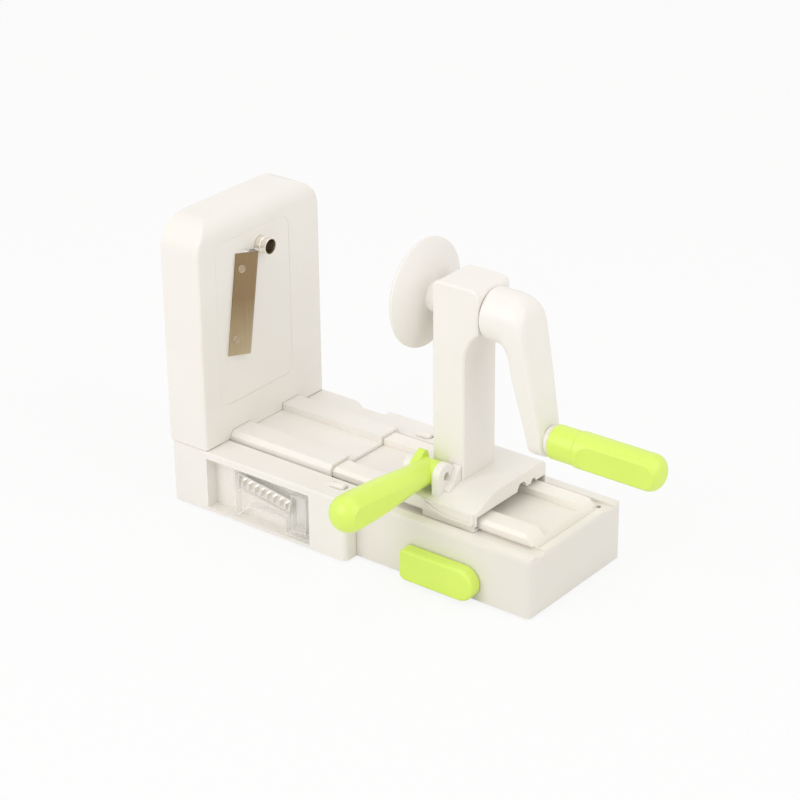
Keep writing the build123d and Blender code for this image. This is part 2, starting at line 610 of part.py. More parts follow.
with BuildPart() as spare_blade_carrier:
    with BuildSketch(Plane.XZ.offset(-CARRIER_Y)):
        with BuildLine():
            Polyline(
                (CARRIER_X0, CARRIER_Z0), (CARRIER_X0, CARRIER_Z1), (CARRIER_X1, CARRIER_Z1),
                (CARRIER_X1, CARRIER_Z0), (CARRIER_X1 - CARRIER_LEG, CARRIER_Z0),
                (CARRIER_X1 - CARRIER_LEG, CARRIER_Z0 + CARRIER_ARCH),
                (CARRIER_X0 + CARRIER_STUB, CARRIER_Z0 + CARRIER_ARCH), (CARRIER_X0 + CARRIER_TOE, CARRIER_Z0),
                close=True,
            )
        make_face()
    extrude(amount=CARRIER_THICK)
    # tray for the blade, and a window through the leg
    with BuildSketch(SPARE_PLANE):
        with Locations(SPARE_AT):
            Rectangle(SPARE_LENGTH + 2 * SEAT, SPARE_HEIGHT + 2 * SEAT, rotation=-SPARE_LEAN)
    extrude(amount=-CARRIER_THICK / 2, mode=Mode.SUBTRACT)
    with BuildSketch(SPARE_PLANE):
        with Locations((CARRIER_X1 - CARRIER_LEG / 2 + CARRIER_RIB, CARRIER_Z0 + CARRIER_LEG / 2)):
            RectangleRounded(CARRIER_LEG / 2, CARRIER_LEG - 2 * CARRIER_RIB, 1)
    extrude(amount=-CARRIER_THICK + CARRIER_TOE, mode=Mode.SUBTRACT)
save("spare_blade_carrier", spare_blade_carrier)

with BuildPart() as spare_comb_blade:
    with BuildSketch(SPARE_PLANE.offset(-CARRIER_THICK / 2)):
        with Locations(SPARE_AT):
            Rectangle(SPARE_LENGTH, SPARE_HEIGHT, rotation=-SPARE_LEAN)
    extrude(amount=SPARE_THICK)
    tooth_pitch = SPARE_LENGTH / SPARE_TEETH
    with BuildSketch(SPARE_PLANE.offset(-CARRIER_THICK / 2 + SPARE_THICK)):
        with Locations(Location((SPARE_AT[0], SPARE_AT[1], 0), (0, 0, -SPARE_LEAN))):
            with GridLocations(tooth_pitch, 1, SPARE_TEETH, 1):
                Rectangle(tooth_pitch / 4, SPARE_HEIGHT / 2)
    extrude(amount=SPARE_TOOTH - SPARE_THICK)
save("spare_comb_blade", spare_comb_blade)

# ---------------------------------------------------------------- slide base
BASE_HALF = SLIDE_WIDTH / 2
CEILING = TRENCH_FLOOR - SLIDE_SKIN
COVER_TOP = SHELL_BOTTOM + COVER_SKIN
FOOT_X = SLIDE_X1 - 3 * FOOT_RADIUS
COVER_PLACES = [
    (x, side * COVER_SCREW_Y) for x in (SLIDE_X0 + BOSS_INSET, LEVER_AT - CUP_RADIUS - BOSS_INSET) for side in (-1, 1)
]
GUIDE_START = LEVER_Z - CAM_THROW * math.sqrt(0.5) + CAM_RADIUS + FIT + STEM_SKIN + STEM_LIFT + FIT


with BuildPart() as slide_base:
    with BuildSketch(Plane.YZ.offset(SLIDE_X0)):
        with BuildLine():
            Polyline(*mirrored([
                (BASE_HALF, SHELL_BOTTOM), (BASE_HALF, RIM_TOP), (TRENCH_OUTER, RIM_TOP), (TRENCH_OUTER, TRENCH_FLOOR),
                (PLATEAU_OUTER - GROOVE_DEPTH, TRENCH_FLOOR), (PLATEAU_OUTER - GROOVE_DEPTH, TRENCH_FLOOR + GROOVE_HEIGHT),
                *rail_outline(-RAIL_SKIN - FIT, TRENCH_FLOOR + GROOVE_HEIGHT)[:5],
            ]), close=True)
        make_face()
    extrude(amount=SLIDE_LENGTH)
    fillet(slide_base.edges().filter_by(Axis.Z).sort_by(Axis.X)[-2:], SLIDE_CORNER)
    # sloped end of the plateau, the trench behind it and the end rim
    with BuildSketch(Plane.XZ):
        with BuildLine():
            Polyline(
                (PLATEAU_X1, TRENCH_FLOOR), (PLATEAU_X1 + TRENCH_END, TRENCH_FLOOR), (PLATEAU_X1 + TRENCH_END, RIM_TOP),
                (SLIDE_X1 + 1, RIM_TOP), (SLIDE_X1 + 1, RAIL_TOP), (PLATEAU_X1 - PLATEAU_SLOPE, RAIL_TOP), close=True,
            )
        make_face()
    extrude(amount=TRENCH_OUTER, both=True, mode=Mode.SUBTRACT)
    # hollow from below
    block((SLIDE_X0 + SLIDE_SKIN, SLIDE_X1 - SLIDE_SKIN), (-BASE_HALF + SLIDE_SKIN, BASE_HALF - SLIDE_SKIN),
          (0, CEILING), mode=Mode.SUBTRACT)
    spine = PLATEAU_OUTER - GROOVE_DEPTH - 2 * SLIDE_SKIN
    block((SLIDE_X0 + SLIDE_SKIN, PLATEAU_X1 - PLATEAU_SLOPE - SLIDE_SKIN), (-spine, spine),
          (CEILING - 1, PLATEAU_FLOOR - SLIDE_SKIN), mode=Mode.SUBTRACT)
    # ring that presses on the suction cup, and the guide of the stem
    with BuildSketch(Plane.XY.offset(CUP_RISE + FIT)):
        with Locations((LEVER_AT, 0)):
            Circle(CUP_RING)
            Circle(CUP_RING - CUP_WALL, mode=Mode.SUBTRACT)
    extrude(amount=CEILING + 1 - CUP_RISE - FIT)
    block(*around((LEVER_AT, 0), 2 * STEM_POST), (GUIDE_START, PLATEAU_FLOOR - 1))
    rod(STEM_POST + RUN, (LEVER_AT, 0, GUIDE_START - 1), STEM_REACH + 1, "Z", mode=Mode.SUBTRACT)
    rod(CAMSHAFT_RADIUS + RUN, (LEVER_AT, -BASE_HALF - 1, LEVER_Z), BASE_HALF + CAMSHAFT_END + 1, "Y",
        mode=Mode.SUBTRACT)
    # bosses for the cover screws, seats of the feet, and the drain hole
    for place in COVER_PLACES:
        block(*around(place, BOSS_RADIUS), (COVER_TOP, CEILING + 1))
        rod(SCREW_RADIUS + SEAT, (place[0], place[1], COVER_TOP - 1), SCREW_LENGTH, "Z", mode=Mode.SUBTRACT)
    for side in (-1, 1):
        block(*around((FOOT_X, side * COVER_SCREW_Y), FOOT_RADIUS), (COVER_TOP, CEILING + 1))
    rod(DRAIN_RADIUS, (PLATEAU_X1 - DRAIN_RADIUS, PLATEAU_OUTER + 2 * DRAIN_RADIUS, CEILING - 1), SLIDE_SKIN + 2, "Z",
        mode=Mode.SUBTRACT)
save("slide_base", slide_base)

with BuildPart() as base_cover:
    block((SLIDE_X0 + SLIDE_SKIN + FIT, SLIDE_X1 - SLIDE_SKIN - FIT),
          (-BASE_HALF + SLIDE_SKIN + FIT, BASE_HALF - SLIDE_SKIN - FIT), (SHELL_BOTTOM, COVER_TOP))
    rod(CUP_RADIUS + CUP_WALL, (LEVER_AT, 0, 0), COVER_TOP + 1, "Z", mode=Mode.SUBTRACT)
    for place in COVER_PLACES:
        rod(SCREW_RADIUS + SEAT, (place[0], place[1], 0), COVER_TOP + 1, "Z", mode=Mode.SUBTRACT)
        rod(SCREW_HEAD + SEAT, (place[0], place[1], 0), SHELL_BOTTOM + BACK_SKIN / 2, "Z", mode=Mode.SUBTRACT)
    for side in (-1, 1):
        rod(FOOT_RADIUS + SEAT, (FOOT_X, side * COVER_SCREW_Y, 0), COVER_TOP + 1, "Z", mode=Mode.SUBTRACT)
save("base_cover", base_cover)

with BuildPart() as base_cover_screws:
    for place in COVER_PLACES:
        screw((place[0], place[1], SHELL_BOTTOM + SEAT), "Z", SCREW_LENGTH - 2)
save("base_cover_screws", base_cover_screws)

with BuildPart() as base_feet:
    for side in (-1, 1):
        rod(FOOT_RADIUS, (FOOT_X, side * COVER_SCREW_Y, 0), COVER_TOP, "Z")
save("base_feet", base_feet)

with BuildPart() as suction_cup:
    with BuildSketch(Plane.XZ):
        with BuildLine():
            Polyline(
                (0, CUP_RISE - CUP_SKIN), (STEM_POST, CUP_RISE - CUP_SKIN), (CUP_RADIUS, 0), (CUP_RADIUS, CUP_EDGE),
                (CUP_RADIUS / 2, CUP_RISE), (CUP_STUD, CUP_RISE), (CUP_STUD, CUP_RISE + FIT + STEM_SKIN - SEAT),
                (0, CUP_RISE + FIT + STEM_SKIN - SEAT), close=True,
            )
        make_face()
    revolve(axis=Axis.Z)
suction_cup.part.position = (LEVER_AT, 0, 0)
save("suction_cup", suction_cup)

# ---------------------------------------------------------------- suction lever
CAM_OFFSET = CAM_THROW * math.sqrt(0.5)
WINDOW_Z0 = LEVER_Z - CAM_OFFSET - CAM_RADIUS - FIT
WINDOW_Z1 = LEVER_Z - CAM_OFFSET + CAM_RADIUS + FIT

with BuildPart() as suction_stem:
    block((LEVER_AT - STEM_HALF - STEM_SKIN, LEVER_AT + STEM_HALF + STEM_SKIN), (-STEM_DEPTH / 2, STEM_DEPTH / 2),
          (WINDOW_Z0 - STEM_SKIN, WINDOW_Z1 + STEM_SKIN))
    block((LEVER_AT - STEM_HALF, LEVER_AT + STEM_HALF), (-STEM_DEPTH, STEM_DEPTH), (WINDOW_Z0, WINDOW_Z1),
          mode=Mode.SUBTRACT)
    rod(STEM_POST, (LEVER_AT, 0, WINDOW_Z1 + STEM_SKIN / 2), STEM_REACH, "Z")
    rod(CUP_STUD + SEAT, (LEVER_AT, 0, 0), WINDOW_Z0 + 1, "Z", mode=Mode.SUBTRACT)
save("suction_stem", suction_stem)

TAB_FACE_Y = -BASE_HALF - LEVER_GAP
with BuildPart() as suction_camshaft:
    rod(CAMSHAFT_RADIUS, (LEVER_AT, TAB_FACE_Y - LEVER_THICK + STEM_SKIN, LEVER_Z),
        CAMSHAFT_END - TAB_FACE_Y + LEVER_THICK - STEM_SKIN, "Y")
    rod(CAM_RADIUS, (LEVER_AT - CAM_OFFSET, -CAM_WIDTH / 2, LEVER_Z - CAM_OFFSET), CAM_WIDTH, "Y")
save("suction_camshaft", suction_camshaft)

with BuildPart() as suction_lever_tab:
    with BuildSketch(Plane.XZ.offset(-TAB_FACE_Y)):
        with BuildLine():
            low = LEVER_Z - LEVER_RADIUS
            high = LEVER_Z + LEVER_RADIUS
            left = LEVER_AT - LEVER_REACH
            Line((LEVER_AT, low), (left + LEVER_CORNER, low))
            CenterArc((left + LEVER_CORNER, low + LEVER_CORNER), LEVER_CORNER, 180, 90)
            Line((left, low + LEVER_CORNER), (left, high - LEVER_CORNER))
            CenterArc((left + LEVER_CORNER, high - LEVER_CORNER), LEVER_CORNER, 90, 90)
            Line((left + LEVER_CORNER, high), (LEVER_AT, high))
            CenterArc((LEVER_AT, LEVER_Z), LEVER_RADIUS, -90, 180)
        make_face()
    extrude(amount=LEVER_THICK)
    fillet(suction_lever_tab.faces().sort_by(Axis.Y)[0].edges(), TOWER_EDGE)
    rod(CAMSHAFT_RADIUS + SEAT, (LEVER_AT, TAB_FACE_Y - LEVER_THICK + STEM_SKIN - SEAT, LEVER_Z), LEVER_THICK, "Y",
        mode=Mode.SUBTRACT)
save("suction_lever_tab", suction_lever_tab)

# ---------------------------------------------------------------- carriage
SADDLE_BACK = at(SADDLE_X0)
SADDLE_FRONT = SADDLE_BACK + SADDLE_LENGTH
TUNNEL_TOP = RAIL_TOP + FIT
SADDLE_FOOT = DECK_TOP + FIT
SKIRT_FRONT = SADDLE_FRONT - RUNNER_SKIN
SKIRT_FOOT = TRENCH_FLOOR + FIT
EAR_FRONT = at(EAR_X1)
EAR_REAR = at(EAR_BACK)
HANDLE_X = (EAR_REAR + EAR_FRONT) / 2
COLUMN_Y0 = -COLUMN_WIDTH / 2
POST_PLACES = [(COLUMN_BACK + COLUMN_LENGTH / 2, side * COLUMN_WIDTH / 4) for side in (-1, 1)]

with BuildPart() as carriage_saddle:
    with BuildSketch(Plane.YZ.offset(SADDLE_BACK)):
        with BuildLine():
            Polyline(
                (-SKIRT_OUTER, SADDLE_FOOT), (-SKIRT_OUTER, SADDLE_BROW), (SADDLE_SHOULDER, SADDLE_TOP),
                (SKIRT_OUTER - SADDLE_SKIN, SADDLE_TOP), (SKIRT_OUTER, SADDLE_TOP - SADDLE_SKIN),
                (SKIRT_OUTER, SADDLE_FOOT), (SKIRT_INNER, SADDLE_FOOT), (SKIRT_INNER, TUNNEL_TOP),
                (-SKIRT_INNER, TUNNEL_TOP), (-SKIRT_INNER, SADDLE_FOOT), close=True,
            )
        make_face()
    extrude(amount=SADDLE_LENGTH)
    corners = carriage_saddle.edges().filter_by(Axis.Z).filter_by(lambda e: abs(e.center().Y) > SKIRT_OUTER - 0.1)
    fillet(corners.sort_by(Axis.X)[-2:], RUNNER_SKIN / 2)
    # thick flap on the handle side, with a scooped recess
    for inset, start, depth, mode in (
        (0, SKIRT_INNER, SKIRT_OUTER + FLAP_OUT - SKIRT_INNER, Mode.ADD),
        (FLAP_OUT, SKIRT_OUTER + FLAP_OUT - SCOOP_DEPTH, SCOOP_DEPTH + 1, Mode.SUBTRACT),
    ):
        left = SKIRT_FRONT - SKIRT_LENGTH + inset
        right = SKIRT_FRONT - inset
        low = SADDLE_FOOT + inset
        high = SADDLE_BROW - inset / 2
        with BuildSketch(Plane.XZ.offset(start)):
            with BuildLine():
                Polyline((left, high), (right, high), (right, low + FLAP_CORNER))
                CenterArc((right - FLAP_CORNER, low + FLAP_CORNER), FLAP_CORNER, -90, 90)
                Line((right - FLAP_CORNER, low), (left + FLAP_CURVE, low))
                TangentArc((left + FLAP_CURVE, low), (left, high), tangent=(-1, 0))
            make_face()
        extrude(amount=depth, mode=mode)
    # skirts that reach through the deck and hook under the slide base's rails
    for side in (-1, 1):
        block((SKIRT_FRONT - SKIRT_LENGTH, SKIRT_FRONT), sorted((side * SKIRT_INNER, side * SKIRT_OUTER)),
              (SKIRT_FOOT, SADDLE_FOOT + 1))
        block((SKIRT_FRONT - SKIRT_LENGTH, SKIRT_FRONT),
              sorted((side * (PLATEAU_OUTER - GROOVE_DEPTH + FIT), side * (SKIRT_INNER + RUNNER_SKIN / 2))),
              (SKIRT_FOOT, SKIRT_FOOT + HOOK_SKIN))
    # ears for the push handle, the web beside them and the seat between them
    for start, radius in ((EAR_REAR, EAR_BACK_RADIUS), (EAR_FRONT - EAR_SKIN, EAR_RADIUS)):
        with BuildSketch(Plane.YZ.offset(start)):
            with Locations((PIVOT_Y, PIVOT_Z)):
                Circle(radius)
            with Locations((PIVOT_Y, SADDLE_BROW)):
                Rectangle(2 * radius, 2)
            make_hull()
        extrude(amount=EAR_SKIN)
    with BuildSketch(Plane.YZ.offset(EAR_FRONT - 1)):
        with BuildLine():
            Polyline((COLUMN_Y0 - FIT, SEAT_Z), (COLUMN_Y0 - FIT, PIVOT_Z + EAR_RADIUS - WEB_REACH),
                     (PIVOT_Y - WEB_REACH, SADDLE_TOP - WEB_REACH), (PIVOT_Y - WEB_REACH, SEAT_Z), close=True)
        make_face()
    extrude(amount=WEB_SKIN + 1)
    block((EAR_REAR + EAR_SKIN, EAR_FRONT - EAR_SKIN), (-SKIRT_OUTER - FLAP_OUT - 1, COLUMN_Y0 - FIT),
          (SEAT_Z, SADDLE_TOP + 1), mode=Mode.SUBTRACT)
    block((EAR_REAR + EAR_SKIN, COLUMN_BACK - FIT), (-SKIRT_OUTER - FLAP_OUT - 1, PIVOT_Y + HEEL_RADIUS + 1),
          (SEAT_Z, SADDLE_TOP + 1), mode=Mode.SUBTRACT)
    rod(PIN_RADIUS + SEAT, (EAR_REAR - 1, PIVOT_Y, PIVOT_Z), EAR_FRONT - EAR_REAR + 2, mode=Mode.SUBTRACT)
    # arches in the end face
    for middle, radius in ARCHES:
        rod(radius, (SADDLE_FRONT - SADDLE_SKIN, middle, TUNNEL_TOP), SADDLE_SKIN + 1, mode=Mode.SUBTRACT)
    # hollow from below, and the holes of the screws that hold the post
    for low, high in ((SADDLE_BACK + SADDLE_SKIN, EAR_REAR), (COLUMN_FRONT, SADDLE_FRONT - SADDLE_SKIN)):
        block((low, high), (SADDLE_SHOULDER, SKIRT_INNER - SADDLE_SKIN), (TUNNEL_TOP - 1, SADDLE_TOP - SADDLE_SKIN),
              mode=Mode.SUBTRACT)
    for place in POST_PLACES:
        rod(SCREW_RADIUS + SEAT, (place[0], place[1], TUNNEL_TOP - 1), SADDLE_TOP - TUNNEL_TOP + 2, "Z",
            mode=Mode.SUBTRACT)
        rod(SCREW_HEAD + SEAT, (place[0], place[1], TUNNEL_TOP - 1), SADDLE_SKIN + 1, "Z", mode=Mode.SUBTRACT)
save("carriage_saddle", carriage_saddle)


def post_outline(inset):
    """Side view of the post and its head, drawn in by an inset."""
    with BuildSketch(Plane.XZ) as outline:
        back = COLUMN_BACK + inset
        front = COLUMN_FRONT - inset
        nose = HEAD_FRONT - inset
        top = HEAD_TOP - inset
        corner = HEAD_CORNER - inset / 2
        with BuildLine():
            Polyline((front, HEAD_BOTTOM - HEAD_BLEND + inset), (front, SADDLE_TOP), (back, SADDLE_TOP),
                     (back, top - corner))
            CenterArc((back + corner, top - corner), corner, 90, 90)
            Line((back + corner, top), (nose - corner, top))
            CenterArc((nose - corner, top - corner), corner, 0, 90)
            Line((nose, top - corner), (nose, HEAD_BOTTOM + inset))
            TangentArc((front, HEAD_BOTTOM - HEAD_BLEND + inset), (nose, HEAD_BOTTOM + inset), tangent=(0, 1))
        make_face()
    return outline.sketch


PANEL_Y = COLUMN_Y0 + COVER_PLATE
with BuildPart() as post_body:
    extrude(post_outline(0).moved(Location((0, PANEL_Y, 0))), amount=COLUMN_WIDTH - COVER_PLATE, dir=(0, 1, 0))
    back_edges = post_body.faces().filter_by(Axis.Y).sort_by(Axis.Y)[-1].edges()
    fillet([edge for edge in back_edges if edge.center().Z > SADDLE_TOP + 1], COLUMN_EDGE)
    extrude(post_outline(COLUMN_SKIN).moved(Location((0, PANEL_Y, 0))),
            amount=COLUMN_WIDTH - COVER_PLATE - COLUMN_SKIN, dir=(0, 1, 0), mode=Mode.SUBTRACT)
    block((COLUMN_BACK + 1, COLUMN_FRONT - 1), (PANEL_Y, -COLUMN_Y0 - 1), (SADDLE_TOP, SADDLE_TOP + POST_FOOT))
    # tube in the head for the bushes of the crank shaft
    rod(HEAD_TUBE, (COLUMN_BACK + 1, 0, AXIS_Z), HEAD_LENGTH - 2)
    rod(BORE_RADIUS, (COLUMN_BACK - 1, 0, AXIS_Z), HEAD_LENGTH + 2, mode=Mode.SUBTRACT)
    for start in (COLUMN_BACK - 1, HEAD_FRONT - BUSH_LENGTH):
        rod(BUSH_RADIUS + SEAT, (start, 0, AXIS_Z), BUSH_LENGTH + 1, mode=Mode.SUBTRACT)
    for place in POST_PLACES:
        rod(SCREW_RADIUS + SEAT, (place[0], place[1], SADDLE_TOP - 1), SCREW_LENGTH, "Z", mode=Mode.SUBTRACT)
save("post_body", post_body)

with BuildPart() as post_cover:
    extrude(post_outline(0).moved(Location((0, COLUMN_Y0, 0))), amount=COVER_PLATE, dir=(0, 1, 0))
    panel_edges = post_cover.faces().filter_by(Axis.Y).sort_by(Axis.Y)[0].edges()
    chamfer([edge for edge in panel_edges if edge.center().Z > SADDLE_TOP + 1], COLUMN_EDGE / 2)
save("post_cover", post_cover)

with BuildPart() as post_screws:
    for place in POST_PLACES:
        screw((place[0], place[1], TUNNEL_TOP + FIT), "Z", SCREW_LENGTH + 2)
save("post_screws", post_screws)

with BuildPart() as shaft_bushes:
    for start in (COLUMN_BACK, HEAD_FRONT - BUSH_LENGTH):
        rod(BUSH_RADIUS, (start, 0, AXIS_Z), BUSH_LENGTH)
        rod(SHAFT_RADIUS + RUN, (start, 0, AXIS_Z), BUSH_LENGTH, mode=Mode.SUBTRACT)
save("shaft_bushes", shaft_bushes)

with BuildPart() as handle_pin:
    rod(PIN_RADIUS, (EAR_REAR + PIN_INSET, PIVOT_Y, PIVOT_Z), EAR_FRONT - EAR_REAR - 2 * PIN_INSET)
save("handle_pin", handle_pin)

# ---------------------------------------------------------------- crank
NECK_X = DISC_AT + DISC_NECK
TEETH_X = DISC_AT - DISC_FACE

with BuildPart() as food_holder:
    with BuildSketch(Plane.XZ):
        with BuildLine():
            hub_z = AXIS_Z + DISC_HUB
            rim_z = AXIS_Z + DISC_RADIUS
            back_x = DISC_AT + DISC_ROUND
            Polyline((DISC_AT + DISC_DOME, hub_z), (NECK_X - 1, hub_z), (NECK_X, hub_z - 1), (NECK_X, AXIS_Z),
                     (TEETH_X, AXIS_Z), (TEETH_X, rim_z - DISC_ROUND), (DISC_AT - DISC_ROUND / 2, rim_z),
                     (DISC_AT + DISC_ROUND / 2, rim_z), (back_x, rim_z - DISC_ROUND))
            ThreePointArc((back_x, rim_z - DISC_ROUND), ((back_x + DISC_AT + DISC_DOME) / 2 + 1, (rim_z + hub_z) / 2),
                          (DISC_AT + DISC_DOME, hub_z))
        make_face()
    revolve(axis=CRANK_AXIS)
    rod(SHAFT_RADIUS + SEAT, (DISC_AT + 1, 0, AXIS_Z), DISC_NECK, mode=Mode.SUBTRACT)
save("food_holder", food_holder)

with BuildPart() as holder_prongs:
    for radius, count in zip(PRONG_RADII, PRONG_COUNTS):
        with BuildSketch(Plane.YZ.offset(TEETH_X)):
            with Locations((0, AXIS_Z)):
                with PolarLocations(radius, count):
                    RegularPolygon(PRONG_RADIUS, PRONG_SIDES)
        extrude(amount=-PRONG_LENGTH, taper=PRONG_TAPER)
    with BuildSketch(Plane.YZ.offset(TEETH_X)):
        with Locations((0, AXIS_Z)):
            Circle(SPIKE_RADIUS)
    extrude(amount=-SPIKE_LENGTH, taper=SPIKE_TAPER)
save("holder_prongs", holder_prongs)

SHAFT_END = BOSS_X + BOSS_LENGTH - DISC_SKIN
with BuildPart() as crank_shaft:
    rod(SHAFT_RADIUS, (DISC_AT + 1 + SEAT, 0, AXIS_Z), SHAFT_END - DISC_AT - 1 - 2 * SEAT)
save("crank_shaft", crank_shaft)

ARM_TOP_AT = at(ARM_TOP_X)
ARM_FOOT_AT = at(ARM_FOOT_X)
with BuildPart() as crank_arm:
    with BuildSketch(Plane.XZ):
        with BuildLine():
            crown = AXIS_Z + ARM_HEAD_R
            shoulder = ARM_TOP_AT - ARM_CROWN / 4
            Polyline(
                (shoulder - ARM_CROWN, crown), (ARM_TOP_AT - ARM_TOP_DEPTH, crown), (ARM_TOP_AT - ARM_TOP_DEPTH, AXIS_Z - BOSS_R),
                (ARM_FOOT_AT - ARM_FOOT_DEPTH, CRANK_Z), (ARM_FOOT_AT - ARM_FOOT_DEPTH, CRANK_Z - ARM_END_R - 1),
                (ARM_FOOT_AT, CRANK_Z - ARM_END_R - 1), (ARM_FOOT_AT, CRANK_Z), (ARM_TOP_AT, crown - ARM_CROWN),
            )
            ThreePointArc((ARM_TOP_AT, crown - ARM_CROWN), (ARM_TOP_AT - ARM_CROWN * 0.4, crown - ARM_CROWN * 0.28),
                          (shoulder - ARM_CROWN, crown))
        make_face()
    extrude(amount=BOSS_R, both=True)
    with BuildSketch(Plane.YZ.offset(BOSS_X)):
        with Locations((0, AXIS_Z)):
            Circle(ARM_HEAD_R)
        with Locations((0, CRANK_Z)):
            Circle(ARM_END_R)
        make_hull()
    extrude(amount=ARM_FOOT_AT - BOSS_X + 1, mode=Mode.INTERSECT)
    outer = crank_arm.faces().filter_by(lambda f: f.normal_at().X > 0.9)
    fillet(outer.edges().filter_by(lambda e: e.center().Z < crown - ARM_CROWN - 1 and abs(e.center().Y) > 2), ARM_EDGE)
    rod(BOSS_R, (BOSS_X, 0, AXIS_Z), BOSS_LENGTH)
    rod(SPIGOT_RADIUS, (ARM_FOOT_AT - 1, 0, CRANK_Z), 1 + ARM_SPIGOT)
    rod(SHAFT_RADIUS + SEAT, (BOSS_X - 1, 0, AXIS_Z), SHAFT_END - BOSS_X + 1, mode=Mode.SUBTRACT)
    rod(AXLE_RADIUS + SEAT, (ARM_FOOT_AT - ARM_FOOT_DEPTH + DISC_SKIN, 0, CRANK_Z), ARM_FOOT_DEPTH + ARM_SPIGOT,
        mode=Mode.SUBTRACT)
save("crank_arm", crank_arm)

with BuildPart() as grip_axle:
    rod(AXLE_RADIUS, (ARM_FOOT_AT - ARM_FOOT_DEPTH + DISC_SKIN + SEAT, 0, CRANK_Z), AXLE_REACH + ARM_FOOT_DEPTH - DISC_SKIN)
save("grip_axle", grip_axle)

GRIP_X = ARM_FOOT_AT + ARM_SPIGOT + ARM_GAP
with BuildPart() as crank_grip:
    with BuildSketch(Plane.XZ):
        with BuildLine():
            tip = GRIP_X + GRIP_LENGTH
            Polyline(
                (tip - GRIP_NOSE, CRANK_Z + GRIP_RADIUS), (GRIP_X + GRIP_COLLAR + 1, CRANK_Z + GRIP_RADIUS),
                (GRIP_X + GRIP_COLLAR, CRANK_Z + GRIP_COLLAR_R), (GRIP_X + 1, CRANK_Z + GRIP_COLLAR_R),
                (GRIP_X, CRANK_Z + GRIP_COLLAR_R - 1), (GRIP_X, CRANK_Z), (tip, CRANK_Z),
                (tip, CRANK_Z + GRIP_RADIUS - GRIP_NOSE),
            )
            CenterArc((tip - GRIP_NOSE, CRANK_Z + GRIP_RADIUS - GRIP_NOSE), GRIP_NOSE, 0, 90)
        make_face()
    revolve(axis=Axis((0, 0, CRANK_Z), (1, 0, 0)))
    # flats on both sides
    for side in (-1, 1):
        with BuildSketch(Plane.XY.offset(CRANK_Z - 2 * GRIP_RADIUS)):
            with BuildLine():
                start = GRIP_X + GRIP_COLLAR
                near = side * GRIP_FLAT
                far = side * (GRIP_RADIUS + 1)
                Polyline((start + GRIP_SWEEP, near), (tip + 1, near), (tip + 1, far), (start + GRIP_COLLAR_RUN, far))
                TangentArc((start + GRIP_SWEEP, near), (start + GRIP_COLLAR_RUN, far), tangent=(-1, 0))
            make_face()
        extrude(amount=4 * GRIP_RADIUS, mode=Mode.SUBTRACT)
    rod(AXLE_RADIUS + RUN, (GRIP_X - 1, 0, CRANK_Z), AXLE_REACH + ARM_GAP + 1, mode=Mode.SUBTRACT)
save("crank_grip", crank_grip)

# ---------------------------------------------------------------- push handle
with BuildPart() as push_handle:
    with BuildSketch(Plane.XY):
        with BuildLine():
            root = HANDLE_ROOT * 0.95
            swell_at = HANDLE_REACH - HANDLE_SWELL
            Line((0, 0), (0, -HANDLE_REACH))
            ThreePointArc((0, -HANDLE_REACH), (HANDLE_SWELL * 0.72, -swell_at - HANDLE_SWELL * 0.72),
                          (HANDLE_SWELL, -swell_at))
            Spline((HANDLE_SWELL, -swell_at), ((HANDLE_SWELL + HANDLE_ROOT) / 2, -swell_at / 2), (root, -HUB_RADIUS / 2),
                   tangents=((0, 1), (0, 1)))
            Polyline((root, -HUB_RADIUS / 2), (root, 0), (0, 0))
        make_face()
    revolve(axis=Axis.Y)
    block((-HANDLE_FLAT, HANDLE_FLAT), (-HANDLE_REACH - 1, 1), (-HANDLE_REACH, HANDLE_REACH), mode=Mode.INTERSECT)
tilted = push_handle.part.moved(Location((HANDLE_X, PIVOT_Y, PIVOT_Z), (-HANDLE_TILT, 0, 0)))
with BuildPart() as push_handle:
    add(tilted)
    rod(HUB_RADIUS, (HANDLE_X - HUB_LENGTH / 2, PIVOT_Y, PIVOT_Z), HUB_LENGTH)
    block((HANDLE_X - HUB_LENGTH / 2, HANDLE_X + HUB_LENGTH / 2), (PIVOT_Y, PIVOT_Y + HUB_RADIUS + 2),
          (PIVOT_Z - 2 * HUB_RADIUS, PIVOT_Z + 2 * HUB_RADIUS), mode=Mode.SUBTRACT)
    rod(HUB_RADIUS, (HANDLE_X - HUB_LENGTH / 2, PIVOT_Y, PIVOT_Z), HUB_LENGTH)
    # heel that stops the handle
    turn = math.radians(HEEL_TURN)
    reach = HEEL_RADIUS - PIN_RADIUS
    with BuildSketch(Plane.YZ.offset(HANDLE_X - HUB_LENGTH / 2)):
        with Locations((PIVOT_Y, PIVOT_Z)):
            Circle(HUB_RADIUS)
        with Locations((PIVOT_Y + reach * math.sin(turn), PIVOT_Z + reach * math.cos(turn))):
            Circle(PIN_RADIUS)
        make_hull()
    extrude(amount=HEEL_WIDTH)
    rod(PIN_RADIUS + RUN, (HANDLE_X - HUB_LENGTH, PIVOT_Y, PIVOT_Z), 2 * HUB_LENGTH, mode=Mode.SUBTRACT)
save("push_handle", push_handle)
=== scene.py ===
import itertools
import json
import math

import bmesh
import bpy
from mathutils import Matrix, Vector


